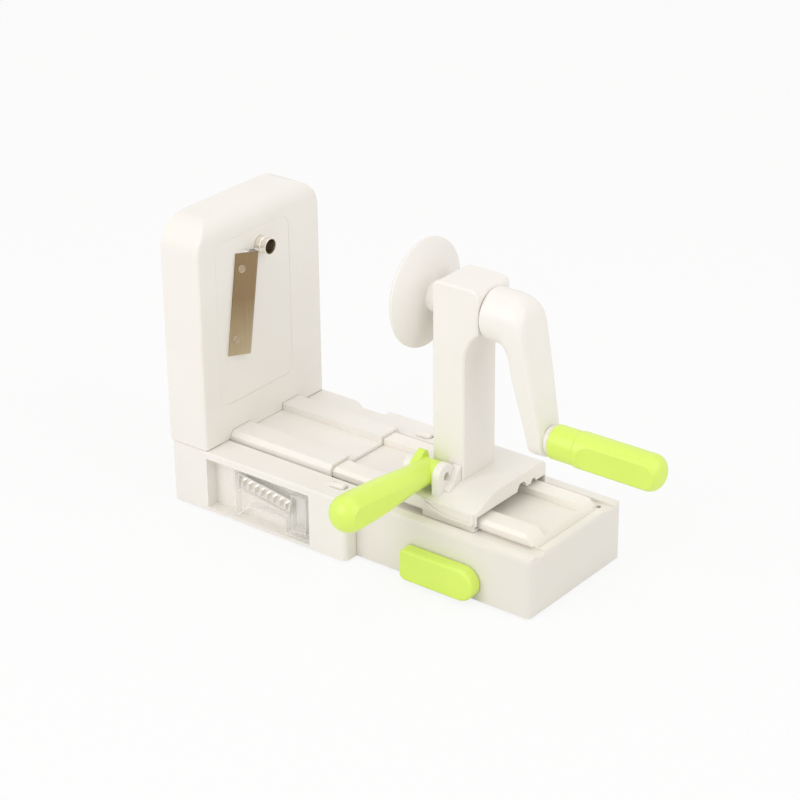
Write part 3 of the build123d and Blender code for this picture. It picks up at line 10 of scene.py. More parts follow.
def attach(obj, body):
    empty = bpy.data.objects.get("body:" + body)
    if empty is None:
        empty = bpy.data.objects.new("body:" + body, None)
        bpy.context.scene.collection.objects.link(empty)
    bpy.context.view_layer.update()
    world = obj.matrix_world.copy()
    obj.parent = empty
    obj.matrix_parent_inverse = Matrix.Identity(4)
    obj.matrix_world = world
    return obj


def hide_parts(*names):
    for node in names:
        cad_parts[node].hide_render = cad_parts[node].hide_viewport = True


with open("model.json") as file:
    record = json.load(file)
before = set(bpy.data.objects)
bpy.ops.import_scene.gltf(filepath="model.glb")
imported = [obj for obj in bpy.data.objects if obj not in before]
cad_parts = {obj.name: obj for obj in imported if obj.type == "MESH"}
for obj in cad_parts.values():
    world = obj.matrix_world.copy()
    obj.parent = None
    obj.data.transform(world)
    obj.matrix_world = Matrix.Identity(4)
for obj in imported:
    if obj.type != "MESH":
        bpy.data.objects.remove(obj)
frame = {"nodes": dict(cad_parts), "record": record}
bpy.context.scene.view_settings.view_transform = "Standard"
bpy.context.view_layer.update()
behaviour = frame["record"]["behaviour"]
body_of = {node: body for body, nodes in behaviour["bodies"].items() for node in nodes}


def box_of(node):
    """The lowest and the highest corner of a CAD node, in metres."""
    places = list(zip(*(vert.co for vert in frame["nodes"][node].data.vertices)))
    return Vector([min(values) for values in places]), Vector([max(values) for values in places])


# ---------------------------------------------------------------- places taken from the frame
FRAME_BOX = box_of("cassette_frame")
DECK_TOP = box_of("tower_shell")[0].z
AXIS_Z = sum(box_of("coring_tube"), Vector()).z / 2
TEETH_X = box_of("food_holder")[0].x

# ---------------------------------------------------------------- camera, fitted to the photograph
TARGET = Vector((0.108, 0.0, 0.060))
DISTANCE = 1.5183
AZIMUTH = math.radians(38.68)
ELEVATION = math.radians(26.4)
ROLL = math.radians(-0.85)
FOCAL_PX = 2457.87
PICTURE_PX = 800.0
CENTRE_PX = (376.32, 432.49)
SENSOR_MM = 36.0


def make_camera():
    """The photograph's own view: fitted azimuth, elevation, roll and off-centre principal point."""
    back = Vector((
        math.sin(AZIMUTH) * math.cos(ELEVATION),
        -math.cos(AZIMUTH) * math.cos(ELEVATION),
        math.sin(ELEVATION),
    ))
    level = Vector((math.cos(AZIMUTH), math.sin(AZIMUTH), 0.0))
    upright = back.cross(level)
    right = level * math.cos(ROLL) + upright * math.sin(ROLL)
    up = upright * math.cos(ROLL) - level * math.sin(ROLL)
    data = bpy.data.cameras.new("camera")
    data.sensor_width = SENSOR_MM
    data.lens = SENSOR_MM * FOCAL_PX / PICTURE_PX
    data.shift_x = (PICTURE_PX / 2 - CENTRE_PX[0]) / PICTURE_PX
    data.shift_y = (CENTRE_PX[1] - PICTURE_PX / 2) / PICTURE_PX
    camera = bpy.data.objects.new("camera", data)
    turn = Matrix((right, up, back)).transposed().to_4x4()
    camera.matrix_world = Matrix.Translation(TARGET + back * DISTANCE) @ turn
    bpy.context.scene.collection.objects.link(camera)
    bpy.context.scene.camera = camera


make_camera()


# ---------------------------------------------------------------- node helpers
NOISE_LOW, NOISE_HIGH = 0.3, 0.7    # most values of a noise texture lie between these
PLASTIC_IOR = 1.49


def new_material(name):
    """An empty node material: (material, nodes, links, principled shader)."""
    material = bpy.data.materials.new(name)
    material.use_nodes = True
    nodes = material.node_tree.nodes
    shader = nodes["Principled BSDF"]
    return material, nodes, material.node_tree.links, shader


def noise(nodes, links, scale, detail=3.0, roughness=0.5, stretch=(1, 1, 1)):
    """A noise texture in object coordinates, in features per metre."""
    coordinates = nodes.new("ShaderNodeTexCoord")
    mapping = nodes.new("ShaderNodeMapping")
    mapping.inputs["Scale"].default_value = stretch
    texture = nodes.new("ShaderNodeTexNoise")
    texture.inputs["Scale"].default_value = scale
    texture.inputs["Detail"].default_value = detail
    texture.inputs["Roughness"].default_value = roughness
    links.new(coordinates.outputs["Object"], mapping.inputs["Vector"])
    links.new(mapping.outputs["Vector"], texture.inputs["Vector"])
    return texture.outputs["Fac"]


def spread(nodes, links, value, low, high):
    """A noise value spread over a range."""
    ranged = nodes.new("ShaderNodeMapRange")
    ranged.inputs["From Min"].default_value = NOISE_LOW
    ranged.inputs["From Max"].default_value = NOISE_HIGH
    ranged.inputs["To Min"].default_value = low
    ranged.inputs["To Max"].default_value = high
    links.new(value, ranged.inputs["Value"])
    return ranged.outputs["Result"]


def tint(nodes, links, value, first, second):
    """A colour between two, by a noise value."""
    ramp = nodes.new("ShaderNodeValToRGB")
    for element, place, colour in zip(ramp.color_ramp.elements, (NOISE_LOW, NOISE_HIGH), (first, second)):
        element.position = place
        element.color = (*colour, 1.0)
    links.new(value, ramp.inputs["Fac"])
    return ramp.outputs["Color"]


def bump(nodes, links, shader, value, strength, distance):
    """A bump from a height value, given in metres."""
    relief = nodes.new("ShaderNodeBump")
    relief.inputs["Strength"].default_value = strength
    relief.inputs["Distance"].default_value = distance
    links.new(value, relief.inputs["Height"])
    links.new(relief.outputs["Normal"], shader.inputs["Normal"])


def height_range(nodes, links, low, high, at_low, at_high):
    """A value that changes with the height above the table."""
    place = nodes.new("ShaderNodeTexCoord")
    split = nodes.new("ShaderNodeSeparateXYZ")
    ranged = nodes.new("ShaderNodeMapRange")
    ranged.inputs["From Min"].default_value = low
    ranged.inputs["From Max"].default_value = high
    ranged.inputs["To Min"].default_value = at_low
    ranged.inputs["To Max"].default_value = at_high
    links.new(place.outputs["Object"], split.inputs["Vector"])
    links.new(split.outputs["Z"], ranged.inputs["Value"])
    return ranged.outputs["Result"]


# ---------------------------------------------------------------- materials
CLOUD_SCALE, POLISH_SCALE = 22.0, 60.0      # features per metre of colour and of polish
GRAIN_STRENGTH = 0.35
COAT_ROUGHNESS = 0.18
WALL_TOP, RAIL_FOOT = 0.036, 0.044          # the slide base's walls end and its rails begin here; below them its colour holds painted shade
ALONG_X = (0.06, 1.0, 1.0)                  # brushed lines along X
ALONG_Z = (1.0, 1.0, 0.03)
NO_LINES = (1.0, 1.0, 1.0)
BLADE_FOOT, BLADE_HEAD = 0.098, 0.140       # painted shade darkens the blade's tone between these heights
BLADE_STREAKS = 0.10                        # how much its brushed lines vary that tone


def plastic(name, first, second, low, high, grain=2600.0, relief=0.00002, sheen=0.0, painted_shade_on_walls=1.0):
    """Moulded plastic: a faint cloudy colour, uneven polish and a fine spark-eroded grain; a wall shade under
    1 darkens the colour towards the foot, as painted shade.
    """
    material, nodes, links, shader = new_material(name)
    colour = tint(nodes, links, noise(nodes, links, CLOUD_SCALE), first, second)
    # painted shade: the colour darkens from the rails' foot down the walls
    if painted_shade_on_walls < 1.0:
        shade = height_range(nodes, links, WALL_TOP, RAIL_FOOT, painted_shade_on_walls, 1.0)
        scale = nodes.new("ShaderNodeVectorMath")
        scale.operation = "SCALE"
        links.new(colour, scale.inputs[0])
        links.new(shade, scale.inputs["Scale"])
        colour = scale.outputs["Vector"]
    links.new(colour, shader.inputs["Base Color"])
    polish = spread(nodes, links, noise(nodes, links, POLISH_SCALE, detail=4.0), low, high)
    links.new(polish, shader.inputs["Roughness"])
    bump(nodes, links, shader, noise(nodes, links, grain, detail=2.0), GRAIN_STRENGTH, relief)
    shader.inputs["IOR"].default_value = PLASTIC_IOR
    shader.inputs["Specular IOR Level"].default_value = 0.5
    if sheen:
        shader.inputs["Coat Weight"].default_value = sheen
        shader.inputs["Coat Roughness"].default_value = COAT_ROUGHNESS
    return material


def steel(name, first, second, low, high, stretch):
    """Brushed stainless steel: fine lines along one direction."""
    material, nodes, links, shader = new_material(name)
    lines = noise(nodes, links, scale=900.0, roughness=0.6, stretch=stretch)
    links.new(tint(nodes, links, lines, first, second), shader.inputs["Base Color"])
    links.new(spread(nodes, links, lines, low, high), shader.inputs["Roughness"])
    bump(nodes, links, shader, lines, strength=0.3, distance=0.00001)
    shader.inputs["Metallic"].default_value = 1.0
    return material


def steel_shaded_by_height(name, low, high):
    """Brushed steel of a warm tone, darkened from its foot to its head with painted shade."""
    material, nodes, links, shader = new_material(name)
    height = height_range(nodes, links, BLADE_FOOT, BLADE_HEAD, NOISE_LOW, NOISE_HIGH)
    lines = noise(nodes, links, scale=500.0, detail=2.0, stretch=ALONG_Z)
    # painted shade by height, varied a little by the brushed lines
    shade = nodes.new("ShaderNodeMath")
    shade.operation = "MULTIPLY_ADD"
    shade.inputs[1].default_value = BLADE_STREAKS
    links.new(lines, shade.inputs[0])
    links.new(height, shade.inputs[2])
    links.new(tint(nodes, links, shade.outputs["Value"], low, high), shader.inputs["Base Color"])
    links.new(spread(nodes, links, lines, low=0.30, high=0.40), shader.inputs["Roughness"])
    bump(nodes, links, shader, lines, strength=0.2, distance=0.000004)
    shader.inputs["Metallic"].default_value = 1.0
    return material


def clear_plastic():
    """Clear moulded plastic: see-through, whiter where it is seen edge-on, with faint flow marks."""
    material, nodes, links, shader = new_material("clear_plastic")
    colour = tint(nodes, links, noise(nodes, links, scale=30.0), (0.98, 0.955, 0.91), (1.0, 0.98, 0.94))
    links.new(colour, shader.inputs["Base Color"])
    polish = spread(nodes, links, noise(nodes, links, scale=90.0), low=0.05, high=0.12)
    links.new(polish, shader.inputs["Roughness"])
    flow = noise(nodes, links, scale=160.0, detail=2.0)
    bump(nodes, links, shader, flow, strength=0.4, distance=0.0001)
    rim = nodes.new("ShaderNodeLayerWeight")
    rim.inputs["Blend"].default_value = 0.35
    cover = nodes.new("ShaderNodeMapRange")
    cover.inputs["To Min"].default_value = 0.10
    cover.inputs["To Max"].default_value = 0.80
    links.new(rim.outputs["Facing"], cover.inputs["Value"])
    links.new(cover.outputs["Result"], shader.inputs["Alpha"])
    shader.inputs["IOR"].default_value = PLASTIC_IOR
    return material


white_plastic = plastic("white_plastic", (0.885, 0.85, 0.80), (0.905, 0.872, 0.825), 0.28, 0.40, sheen=0.15)
# a lit and shaded copy of the white plastic: painted lighter than the other white parts, with painted shade
# on its walls
slide_lit_and_shaded_plastic = plastic(
    "slide_lit_and_shaded_plastic", (0.94, 0.895, 0.835), (0.955, 0.912, 0.855), 0.28, 0.40, sheen=0.15, painted_shade_on_walls=0.87
)
disc_plastic = plastic("disc_plastic", (0.875, 0.84, 0.795), (0.895, 0.862, 0.82), 0.34, 0.44)
lime_plastic = plastic("lime_plastic", (0.69, 0.885, 0.125), (0.725, 0.915, 0.15), 0.28, 0.40, sheen=0.2)
rubber = plastic("grey_rubber", (0.42, 0.42, 0.41), (0.47, 0.47, 0.46), 0.6, 0.75, 1500.0, 0.00005)
bush_plastic = plastic("bush_plastic", (0.74, 0.72, 0.67), (0.78, 0.76, 0.71), 0.4, 0.5)
bright_steel = steel("bright_steel", (0.66, 0.62, 0.55), (0.74, 0.70, 0.63), 0.18, 0.30, ALONG_X)
rivet_steel = steel("rivet_steel", (0.48, 0.385, 0.275), (0.53, 0.435, 0.325), 0.34, 0.46, NO_LINES)
tube_steel = steel("tube_steel", (0.87, 0.815, 0.72), (0.92, 0.875, 0.79), 0.20, 0.32, ALONG_X)
# painted shade for the inside of the coring tube
bore_shade_steel = steel("bore_shade_steel", (0.30, 0.24, 0.16), (0.38, 0.31, 0.22), 0.40, 0.55, ALONG_X)
comb_steel = steel("comb_steel", (0.86, 0.83, 0.775), (0.90, 0.875, 0.835), 0.26, 0.36, ALONG_X)
# the blade's colour darkens towards its head as painted shade
blade_steel = steel_shaded_by_height("blade_steel", (0.60, 0.51, 0.345), (0.335, 0.24, 0.135))
clear = clear_plastic()

# ---------------------------------------------------------------- material of each CAD node
FINISH = {
    "end_foot_strip": rubber,
    "side_foot_pads": rubber,
    "base_feet": rubber,
    "suction_cup": rubber,
    "straight_blade": blade_steel,
    "blade_rivets": rivet_steel,
    "coring_tube": tube_steel,
    "spare_comb_blade": comb_steel,
    "tower_cover_screws": bright_steel,
    "tower_foot_screws": bright_steel,
    "base_cover_screws": bright_steel,
    "post_screws": bright_steel,
    "handle_pin": bright_steel,
    "crank_shaft": bright_steel,
    "grip_axle": bright_steel,
    "shaft_bushes": bush_plastic,
    "suction_lever_tab": lime_plastic,
    "crank_grip": lime_plastic,
    "push_handle": lime_plastic,
    "spare_blade_carrier": clear,
    "food_holder": disc_plastic,
    "slide_base": slide_lit_and_shaded_plastic,
    "holder_prongs": disc_plastic,
}
for node_name, node in frame["nodes"].items():
    node.data.materials.clear()
    node.data.materials.append(FINISH.get(node_name, white_plastic))


# ---------------------------------------------------------------- moulded versions of the CAD solids
WELD = 1e-6                     # points nearer than this are one point
FLAT_DEGREES = 1.0              # faces this near to one plane are merged
SHARP_DEGREES = 28.0            # an edge that turns more than this is rounded
WIDE_SEGMENTS, NARROW_SEGMENTS = 3, 2
RIB_Y, RIB_HALF = 0.043, 0.004  # the snap tabs' ribs: their line, and a half width round them
RIB_ZONE = (0.099, 0.119)       # where they start and end along X
RIB_LEFT = 0.1                  # the share of their height that stays
ON_DECK = 0.00005               # a point this near to the deck lies on it
SNUG = (1.0, 1.0064, 1.004)     # growth of the blade frame along X, Y and Z
JOINT_GAP = 0.0006              # the dark line between the tower and the deck
JOINT_REACH = 0.0003            # the tower's points this near to the deck are lifted


def weigh_normals(mesh, limit):
    """Shade every corner by its near faces in proportion to their areas, so that wide flats stay flat."""
    limit = math.cos(math.radians(limit))
    normals = [face.normal.copy() for face in mesh.polygons]
    areas = [face.area for face in mesh.polygons]
    around = [[] for _ in mesh.vertices]
    for face in mesh.polygons:
        face.use_smooth = True
        for index in face.vertices:
            around[index].append(face.index)
    shaded = []
    for face in mesh.polygons:
        own = normals[face.index]
        for index in face.vertices:
            total = Vector()
            for near in around[index]:
                if normals[near].dot(own) > limit:
                    total += normals[near] * areas[near]
            shaded.append(total.normalized() if total.length > 0 else own)
    mesh.normals_split_custom_set(shaded)


def adopt(piece, node, material=None, smooth=32.0):
    """Finish a piece that stands for a CAD node: shading, material and body."""
    mesh = piece.data
    weigh_normals(mesh, smooth)
    mesh.materials.clear()
    mesh.materials.append(material or FINISH.get(node, white_plastic))
    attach(piece, body_of[node])


def add_object(name, mesh):
    """A mesh as an object of the scene."""
    piece = bpy.data.objects.new(name, mesh)
    bpy.context.scene.collection.objects.link(piece)
    return piece


def soften(work, shortest, width, segments):
    """Round a mesh's sharp edges that are longer than the shortest."""
    edges = [
        edge for edge in work.edges
        if edge.is_manifold and math.degrees(edge.calc_face_angle(0.0)) > SHARP_DEGREES
        and edge.calc_length() > shortest
    ]
    if edges:
        bmesh.ops.bevel(work, geom=edges, offset=width, offset_type="OFFSET", segments=segments,
                        profile=0.5, affect="EDGES", clamp_overlap=True)


def softened(node, wide=0.0, narrow=0.0, reach=0.02, reshape=None, smooth=32.0):
    """A copy of a solid with its faces merged and its sharp edges rounded, as a mould leaves them.
    The wide radius goes on edges longer than reach, and the narrow one on all that have room for it."""
    mesh = frame["nodes"][node].data.copy()
    mesh.name = "moulded_" + node
    work = bmesh.new()
    work.from_mesh(mesh)
    bmesh.ops.remove_doubles(work, verts=work.verts, dist=WELD)
    if reshape:
        for vert in work.verts:
            vert.co = reshape(vert.co)
    bmesh.ops.dissolve_limit(
        work, angle_limit=math.radians(FLAT_DEGREES), verts=work.verts, edges=work.edges
    )
    if wide:
        soften(work, reach, wide, WIDE_SEGMENTS)
    if narrow:
        soften(work, 2 * narrow, narrow, NARROW_SEGMENTS)
    work.to_mesh(mesh)
    work.free()
    piece = add_object("moulded_" + node, mesh)
    adopt(piece, node, smooth=smooth)
    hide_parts(node)


def flat_tabs(point):
    """Lower the plain ribs on the snap tabs, which sculpted ones replace."""
    above = point.z - DECK_TOP
    on_rib = abs(abs(point.y) - RIB_Y) < RIB_HALF and RIB_ZONE[0] < point.x < RIB_ZONE[1]
    if above > ON_DECK and on_rib:
        return Vector((point.x, point.y, DECK_TOP + above * RIB_LEFT))
    return point


def snug(point):
    """Widen the blade frame a little, so that only a hairline is left round it."""
    middle = sum(FRAME_BOX, Vector()) / 2
    return Vector([at + (value - at) * growth for value, at, growth in zip(point, middle, SNUG)])


def parted(point):
    """Lift the tower's foot a little off the deck, which leaves the thin dark line of their joint."""
    if abs(point.z - DECK_TOP) < JOINT_REACH:
        return Vector((point.x, point.y, point.z + JOINT_GAP))
    return point


softened("blade_housing", wide=0.0009, reshape=flat_tabs)
softened("tower_shell", reshape=parted)
softened("tower_back_cover", narrow=0.0003)
softened("slide_base", wide=0.0011)
softened("carriage_saddle", wide=0.0009, reach=0.004)
softened("post_body", wide=0.0007)
softened("post_cover", narrow=0.0003)
softened("cassette_frame", narrow=0.0002, reshape=snug)
softened("suction_lever_tab", narrow=0.0004)
softened("food_holder", narrow=0.0003)
softened("base_cover", narrow=0.0003)
softened("end_foot_strip", wide=0.0004, reach=0.001)
softened("side_foot_pads", wide=0.0004, reach=0.001)
softened("crank_grip", narrow=0.0006, smooth=20.0)
softened("push_handle", narrow=0.0008, smooth=20.0)


# ---------------------------------------------------------------- mesh helpers
THINNEST = 1e-5     # a turned profile's least radius
RING_WELD = 1e-7    # joins the two ends of a hollow one


def from_work(name, work, node, material=None, smooth=32.0, replaces=True):
    """Turn a finished bmesh into a piece of the scene."""
    bmesh.ops.recalc_face_normals(work, faces=work.faces)
    mesh = bpy.data.meshes.new(name)
    work.to_mesh(mesh)
    work.free()
    piece = add_object(name, mesh)
    adopt(piece, node, material, smooth)
    if replaces:
        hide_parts(node)
    return piece


def loft(work, rings, capped=True):
    """Skin closed rings of the same number of points."""
    lines = [[work.verts.new(point) for point in ring] for ring in rings]
    count = len(lines[0])
    for first, second in zip(lines, lines[1:]):
        for k in range(count):
            after = (k + 1) % count
            work.faces.new((first[k], first[after], second[after], second[k]))
    if capped:
        work.faces.new(list(reversed(lines[0])))
        work.faces.new(lines[-1])


def lathe(work, profile, place, steps=48, hollow=False):
    """Turn a profile of (radius, height) points about the local Z axis of a place.
    A hollow one is a closed loop."""
    turns = [2 * math.pi * k / steps for k in range(steps)]
    rings = []
    for radius, height in profile:
        reach = max(radius, THINNEST)
        rings.append([
            place @ Vector((reach * math.cos(turn), reach * math.sin(turn), height)) for turn in turns
        ])
    if hollow:
        loft(work, rings + rings[:1], capped=False)
        bmesh.ops.remove_doubles(work, verts=work.verts, dist=RING_WELD)
    else:
        loft(work, rings)


def facing(point, normal):
    """A placement at a point whose local Z axis is the normal."""
    turn = Vector(normal).to_track_quat("Z", "Y").to_matrix().to_4x4()
    return Matrix.Translation(Vector(point)) @ turn


def catmull(a, b, c, d, t):
    """The Catmull-Rom value a share t of the way from b to c."""
    bend = 2 * a - 5 * b + 4 * c - d
    swing = 3 * b - a - 3 * c + d
    return 0.5 * (2 * b + (c - a) * t + bend * t * t + swing * t ** 3)


def through(keys, per_span):
    """Keys of any length with smooth values between them."""
    points = [keys[0]] + list(keys) + [keys[-1]]
    values = []
    for i in range(1, len(points) - 2):
        for step in range(per_span):
            values.append(tuple(catmull(*around, step / per_span) for around in zip(*points[i - 1:i + 3])))
    values.append(tuple(keys[-1]))
    return values


# ---------------------------------------------------------------- crank arm
# One swept form that turns from a round boss into a flat-sided arm. Each key is a section, in mm: X and Z of
# its outer point, X and Z of its inner point, its half width and its squareness (2 is round).
SQUARE = 6.5
FOOT_RADIUS = 10.8
FOOT_Z = 94.0
FOOT_OUTSIDE, FOOT_INSIDE = 238.5, 227.0
FOOT_DRAFT = 0.9
FOOT_TURNS = (12, 24, 36, 47, 57, 66, 74, 81, 86)
BOSS_RADIUS = 16.0
BOSS_KEYS = [
    (197.0, 179.2, 197.0, 148.8, 15.2, 2.0),
    (197.6, 180.0, 197.6, 148.0, BOSS_RADIUS, 2.0),
    (203.0, 180.0, 203.0, 148.0, BOSS_RADIUS, 2.0),
    (209.5, 180.0, 208.0, 147.2, BOSS_RADIUS, 2.05),
]
ELBOW_KEYS = [
    (215.5, 179.2, 211.4, 144.6, 15.8, 2.2),
    (220.2, 176.8, 214.0, 140.6, 15.5, 2.5),
    (223.6, 172.6, 216.0, 135.6, 15.2, 3.1),
    (225.4, 166.4, 217.6, 130.2, 14.8, 4.0),
]
ARM_KEYS = [
    (227.2, 155.6, 219.4, 124.2, 14.2, 5.0),
    (230.6, 136.6, 222.0, 115.6, 13.3, 6.0),
    (234.4, 115.6, 224.6, 105.6, 12.2, SQUARE),
    (237.6, 98.6, 226.4, 97.2, 11.2, SQUARE),
    (238.4, 93.6, 227.0, 93.6, FOOT_RADIUS, SQUARE),
]
SPIGOT_PROFILE = [(0.0084, -0.001), (0.0085, 0.0019), (0.0081, 0.0024), (0.0034, 0.0024)]


def section(outer_x, outer_z, inner_x, inner_z, half_width, power, steps=48):
    """A superellipse ring between an outer and an inner point, in metres."""
    middle = Vector(((outer_x + inner_x) / 2, 0.0, (outer_z + inner_z) / 2))
    reach = Vector(((outer_x - inner_x) / 2, 0.0, (outer_z - inner_z) / 2))
    ring = []
    for k in range(steps):
        turn = 2 * math.pi * (k + 0.5) / steps
        along, over = (
            math.copysign(abs(value) ** (2 / power), value) for value in (math.cos(turn), math.sin(turn))
        )
        ring.append((middle + reach * along + Vector((0.0, half_width * over, 0.0))) / 1000)
    return ring


def make_crank_arm():
    """The arm with its rounded foot and the spigot that the grip turns against."""
    work = bmesh.new()
    rings = [section(*key) for key in through(BOSS_KEYS + ELBOW_KEYS + ARM_KEYS, 5)]
    for degrees in FOOT_TURNS:
        angle = math.radians(degrees)
        low = FOOT_Z - FOOT_RADIUS * math.sin(angle)
        pull = FOOT_DRAFT * (1 - math.cos(angle))
        half_width = FOOT_RADIUS * math.cos(angle)
        rings.append(section(FOOT_OUTSIDE - pull, low, FOOT_INSIDE + pull, low, half_width, SQUARE))
    loft(work, rings)
    lathe(work, SPIGOT_PROFILE, facing((FOOT_OUTSIDE / 1000, 0.0, FOOT_Z / 1000), (1, 0, 0)))
    from_work("arm_casting", work, "crank_arm", smooth=40.0)


# ---------------------------------------------------------------- teeth of the food holder
TOOTH_RINGS = ((0.010, 6, 0.007), (0.019, 10, 0.007), (0.028, 14, 0.0028))     # radius, count, length
SPIKE_PROFILE = [(0.0040, 0.0), (0.0033, 0.0005), (0.0020, 0.0062), (0.0012, 0.0084), (0.0004, 0.0090)]


def make_teeth():
    """Rings of four-sided teeth with a flared root and a blunt point, round a spike."""
    work = bmesh.new()
    for radius, count, length in TOOTH_RINGS:
        # distance from the disc, and half the diagonal there
        profile = ((0.0, 0.0021), (0.0004, 0.00165), (length - 0.0009, 0.0010), (length, 0.0004))
        for n in range(count):
            angle = 2 * math.pi * n / count
            root = Vector((TEETH_X, radius * math.cos(angle), AXIS_Z + radius * math.sin(angle)))
            turns = [angle + quarter * math.pi / 2 for quarter in range(4)]
            rings = []
            for depth, size in profile:
                rings.append([
                    root + Vector((-depth, size * math.cos(turn), size * math.sin(turn))) for turn in turns
                ])
            loft(work, rings)
    lathe(work, SPIKE_PROFILE, facing((TEETH_X, 0.0, AXIS_Z), (-1, 0, 0)), steps=24)
    from_work("holder_teeth", work, "holder_prongs", smooth=25.0)


# ---------------------------------------------------------------- screws
HEAD_SIDES = 32
SHANK, HEAD, HEAD_HEIGHT = 0.0015, 0.0028, 0.0011
TIP_IN, TIP_LENGTH = 0.0001, 0.0005
RIM_IN, RIM_DOWN = 0.0002, 0.0003
CROSS_HALF, CROSS_LONG, CROSS_DEPTH, CROSS_DRAFT = 0.00042, 0.0016, 0.0008, 0.7


def cross_outline():
    """The twelve corners of a cross recess."""
    one_arm = ((CROSS_LONG, -CROSS_HALF), (CROSS_LONG, CROSS_HALF), (CROSS_HALF, CROSS_HALF))
    corners = []
    for _ in range(4):
        corners += one_arm
        one_arm = [(-y, x) for x, y in one_arm]
    return corners


def make_screws(name, node, normal, length, xs, ys, zs):
    """Pan-head screws with a cross recess, on a grid of places for the tops of their heads."""
    work = bmesh.new()
    profile = [(SHANK - TIP_IN, -length), (SHANK, -length + TIP_LENGTH), (SHANK, -HEAD_HEIGHT),
               (HEAD, -HEAD_HEIGHT), (HEAD, -RIM_DOWN), (HEAD - RIM_IN, 0.0)]
    outline = cross_outline()
    for point in itertools.product(xs, ys, zs):
        place = facing(point, normal)
        lathe(work, profile, place, steps=HEAD_SIDES)
        top = [face for face in work.faces if len(face.verts) == HEAD_SIDES][-1]
        rim = list(top.verts)
        work.faces.remove(top)
        high = [work.verts.new(place @ Vector((x, y, 0.0))) for x, y in outline]
        deep = [
            work.verts.new(place @ Vector((x * CROSS_DRAFT, y * CROSS_DRAFT, -CROSS_DEPTH)))
            for x, y in outline
        ]
        edges = [work.edges.get((a, b)) or work.edges.new((a, b)) for a, b in zip(rim, rim[1:] + rim[:1])]
        edges += [work.edges.new((a, b)) for a, b in zip(high, high[1:] + high[:1])]
        bmesh.ops.triangle_fill(work, use_beauty=True, edges=edges)
        for k in range(len(outline)):
            after = (k + 1) % len(outline)
            work.faces.new((high[k], high[after], deep[after], deep[k]))
        work.faces.new(deep)
    from_work(name, work, node, smooth=30.0)


# ---------------------------------------------------------------- thumb ribs on the snap tabs
RIB_START, RIB_LENGTH, RIB_FOOT = 0.1005, 0.0174, 0.0421
RIB_SIDES = 16
# the share of the length, then the half width and the height in mm
RIB_KEYS = [(0.0, 0.8, 0.25), (0.2, 2.0, 0.8), (0.5, 2.8, 1.7), (0.78, 3.0, 2.7),
            (0.92, 2.9, 2.9), (0.98, 2.4, 2.4), (1.0, 1.5, 1.4)]


def make_thumb_ribs():
    """Two ribs like half bullets."""
    work = bmesh.new()
    turns = [math.pi * k / RIB_SIDES for k in range(RIB_SIDES + 1)]
    for side in (-1, 1):
        rings = []
        for along, half, high in through(RIB_KEYS, 4):
            middle = Vector((RIB_START + RIB_LENGTH * along, side * RIB_Y, RIB_FOOT))
            rings.append([
                middle + Vector((0.0, half * math.cos(turn), high * math.sin(turn))) / 1000 for turn in turns
            ])
        loft(work, rings)
    from_work("thumb_ribs", work, "blade_housing", smooth=50.0, replaces=False)


# ---------------------------------------------------------------- coring tube
TUBE, COLLAR, BORE = 0.0049, 0.0054, 0.0043
BORE_LIMIT = 0.0047     # faces nearer to the axis than this are the bore, which holds painted shade


def make_coring_tube():
    """The tube with its collar, a flared lip and a bore painted darker as painted shade."""
    root = box_of("coring_tube")[0].x
    outside = [(TUBE, root), (TUBE, 0.0180), (COLLAR, 0.0182), (COLLAR, 0.0216), (0.0050, 0.0222),
               (0.0051, 0.0245), (0.0055, 0.0260), (0.0056, 0.0264), (0.0054, 0.0267)]
    inside = [(0.0048, 0.0266), (0.0044, 0.0255), (BORE, 0.0240), (BORE, root)]
    work = bmesh.new()
    lathe(work, outside + inside, facing((0, 0, AXIS_Z), (1, 0, 0)), steps=56, hollow=True)
    tube = from_work("flared_tube", work, "coring_tube", smooth=30.0)
    # painted shade inside the bore
    tube.data.materials.append(bore_shade_steel)
    for face in tube.data.polygons:
        if math.hypot(face.center.y, face.center.z - AXIS_Z) < BORE_LIMIT:
            face.material_index = 1


# ---------------------------------------------------------------- rivets of the blade
BLADE_MIDDLE = Vector((0.0204, -0.0206, 0.1312))
BLADE_LEAN, BLADE_LIFT = math.radians(9.3), math.radians(13.9)
BLADE_THICK = 0.0008
RIVET_INSET, RIVET_PITCH = 0.0035, 0.0228
RIVET_PROFILE = [(0.0020, -0.0048), (0.0020, -0.0001), (0.0027, -0.0001), (0.0027, 0.0002),
                 (0.0025, 0.0005), (0.0020, 0.0005), (0.0017, 0.0002), (0.0, 0.0002)]


def make_rivets():
    """Two rivets, dished in the middle, square to the tilted blade."""
    across = Vector((0.0, math.cos(BLADE_LEAN), -math.sin(BLADE_LEAN)))
    lifted = across * math.cos(BLADE_LIFT) + Vector((math.sin(BLADE_LIFT), 0.0, 0.0))
    normal = Vector((math.cos(BLADE_LIFT), 0.0, 0.0)) - across * math.sin(BLADE_LIFT)
    upward = normal.cross(lifted)
    middle = BLADE_MIDDLE + normal * BLADE_THICK
    work = bmesh.new()
    for step in (-RIVET_PITCH, RIVET_PITCH):
        spot = middle + lifted * -RIVET_INSET + upward * step
        lathe(work, RIVET_PROFILE, facing(spot, normal), steps=40)
    from_work("rivet_heads", work, "blade_rivets", smooth=28.0)


# ---------------------------------------------------------------- suction cup
CUP_RADIUS, CUP_HOLLOW = 0.033, 0.0012
CUP_RINGS = (0.010, 0.017, 0.024, 0.030)
CUP_TOP = [(0.0328, 0.0), (CUP_RADIUS, 0.0003), (0.0328, 0.0006), (0.0165, 0.0027), (0.0026, 0.0027),
           (0.0025, 0.0048), (0.0, 0.0048)]


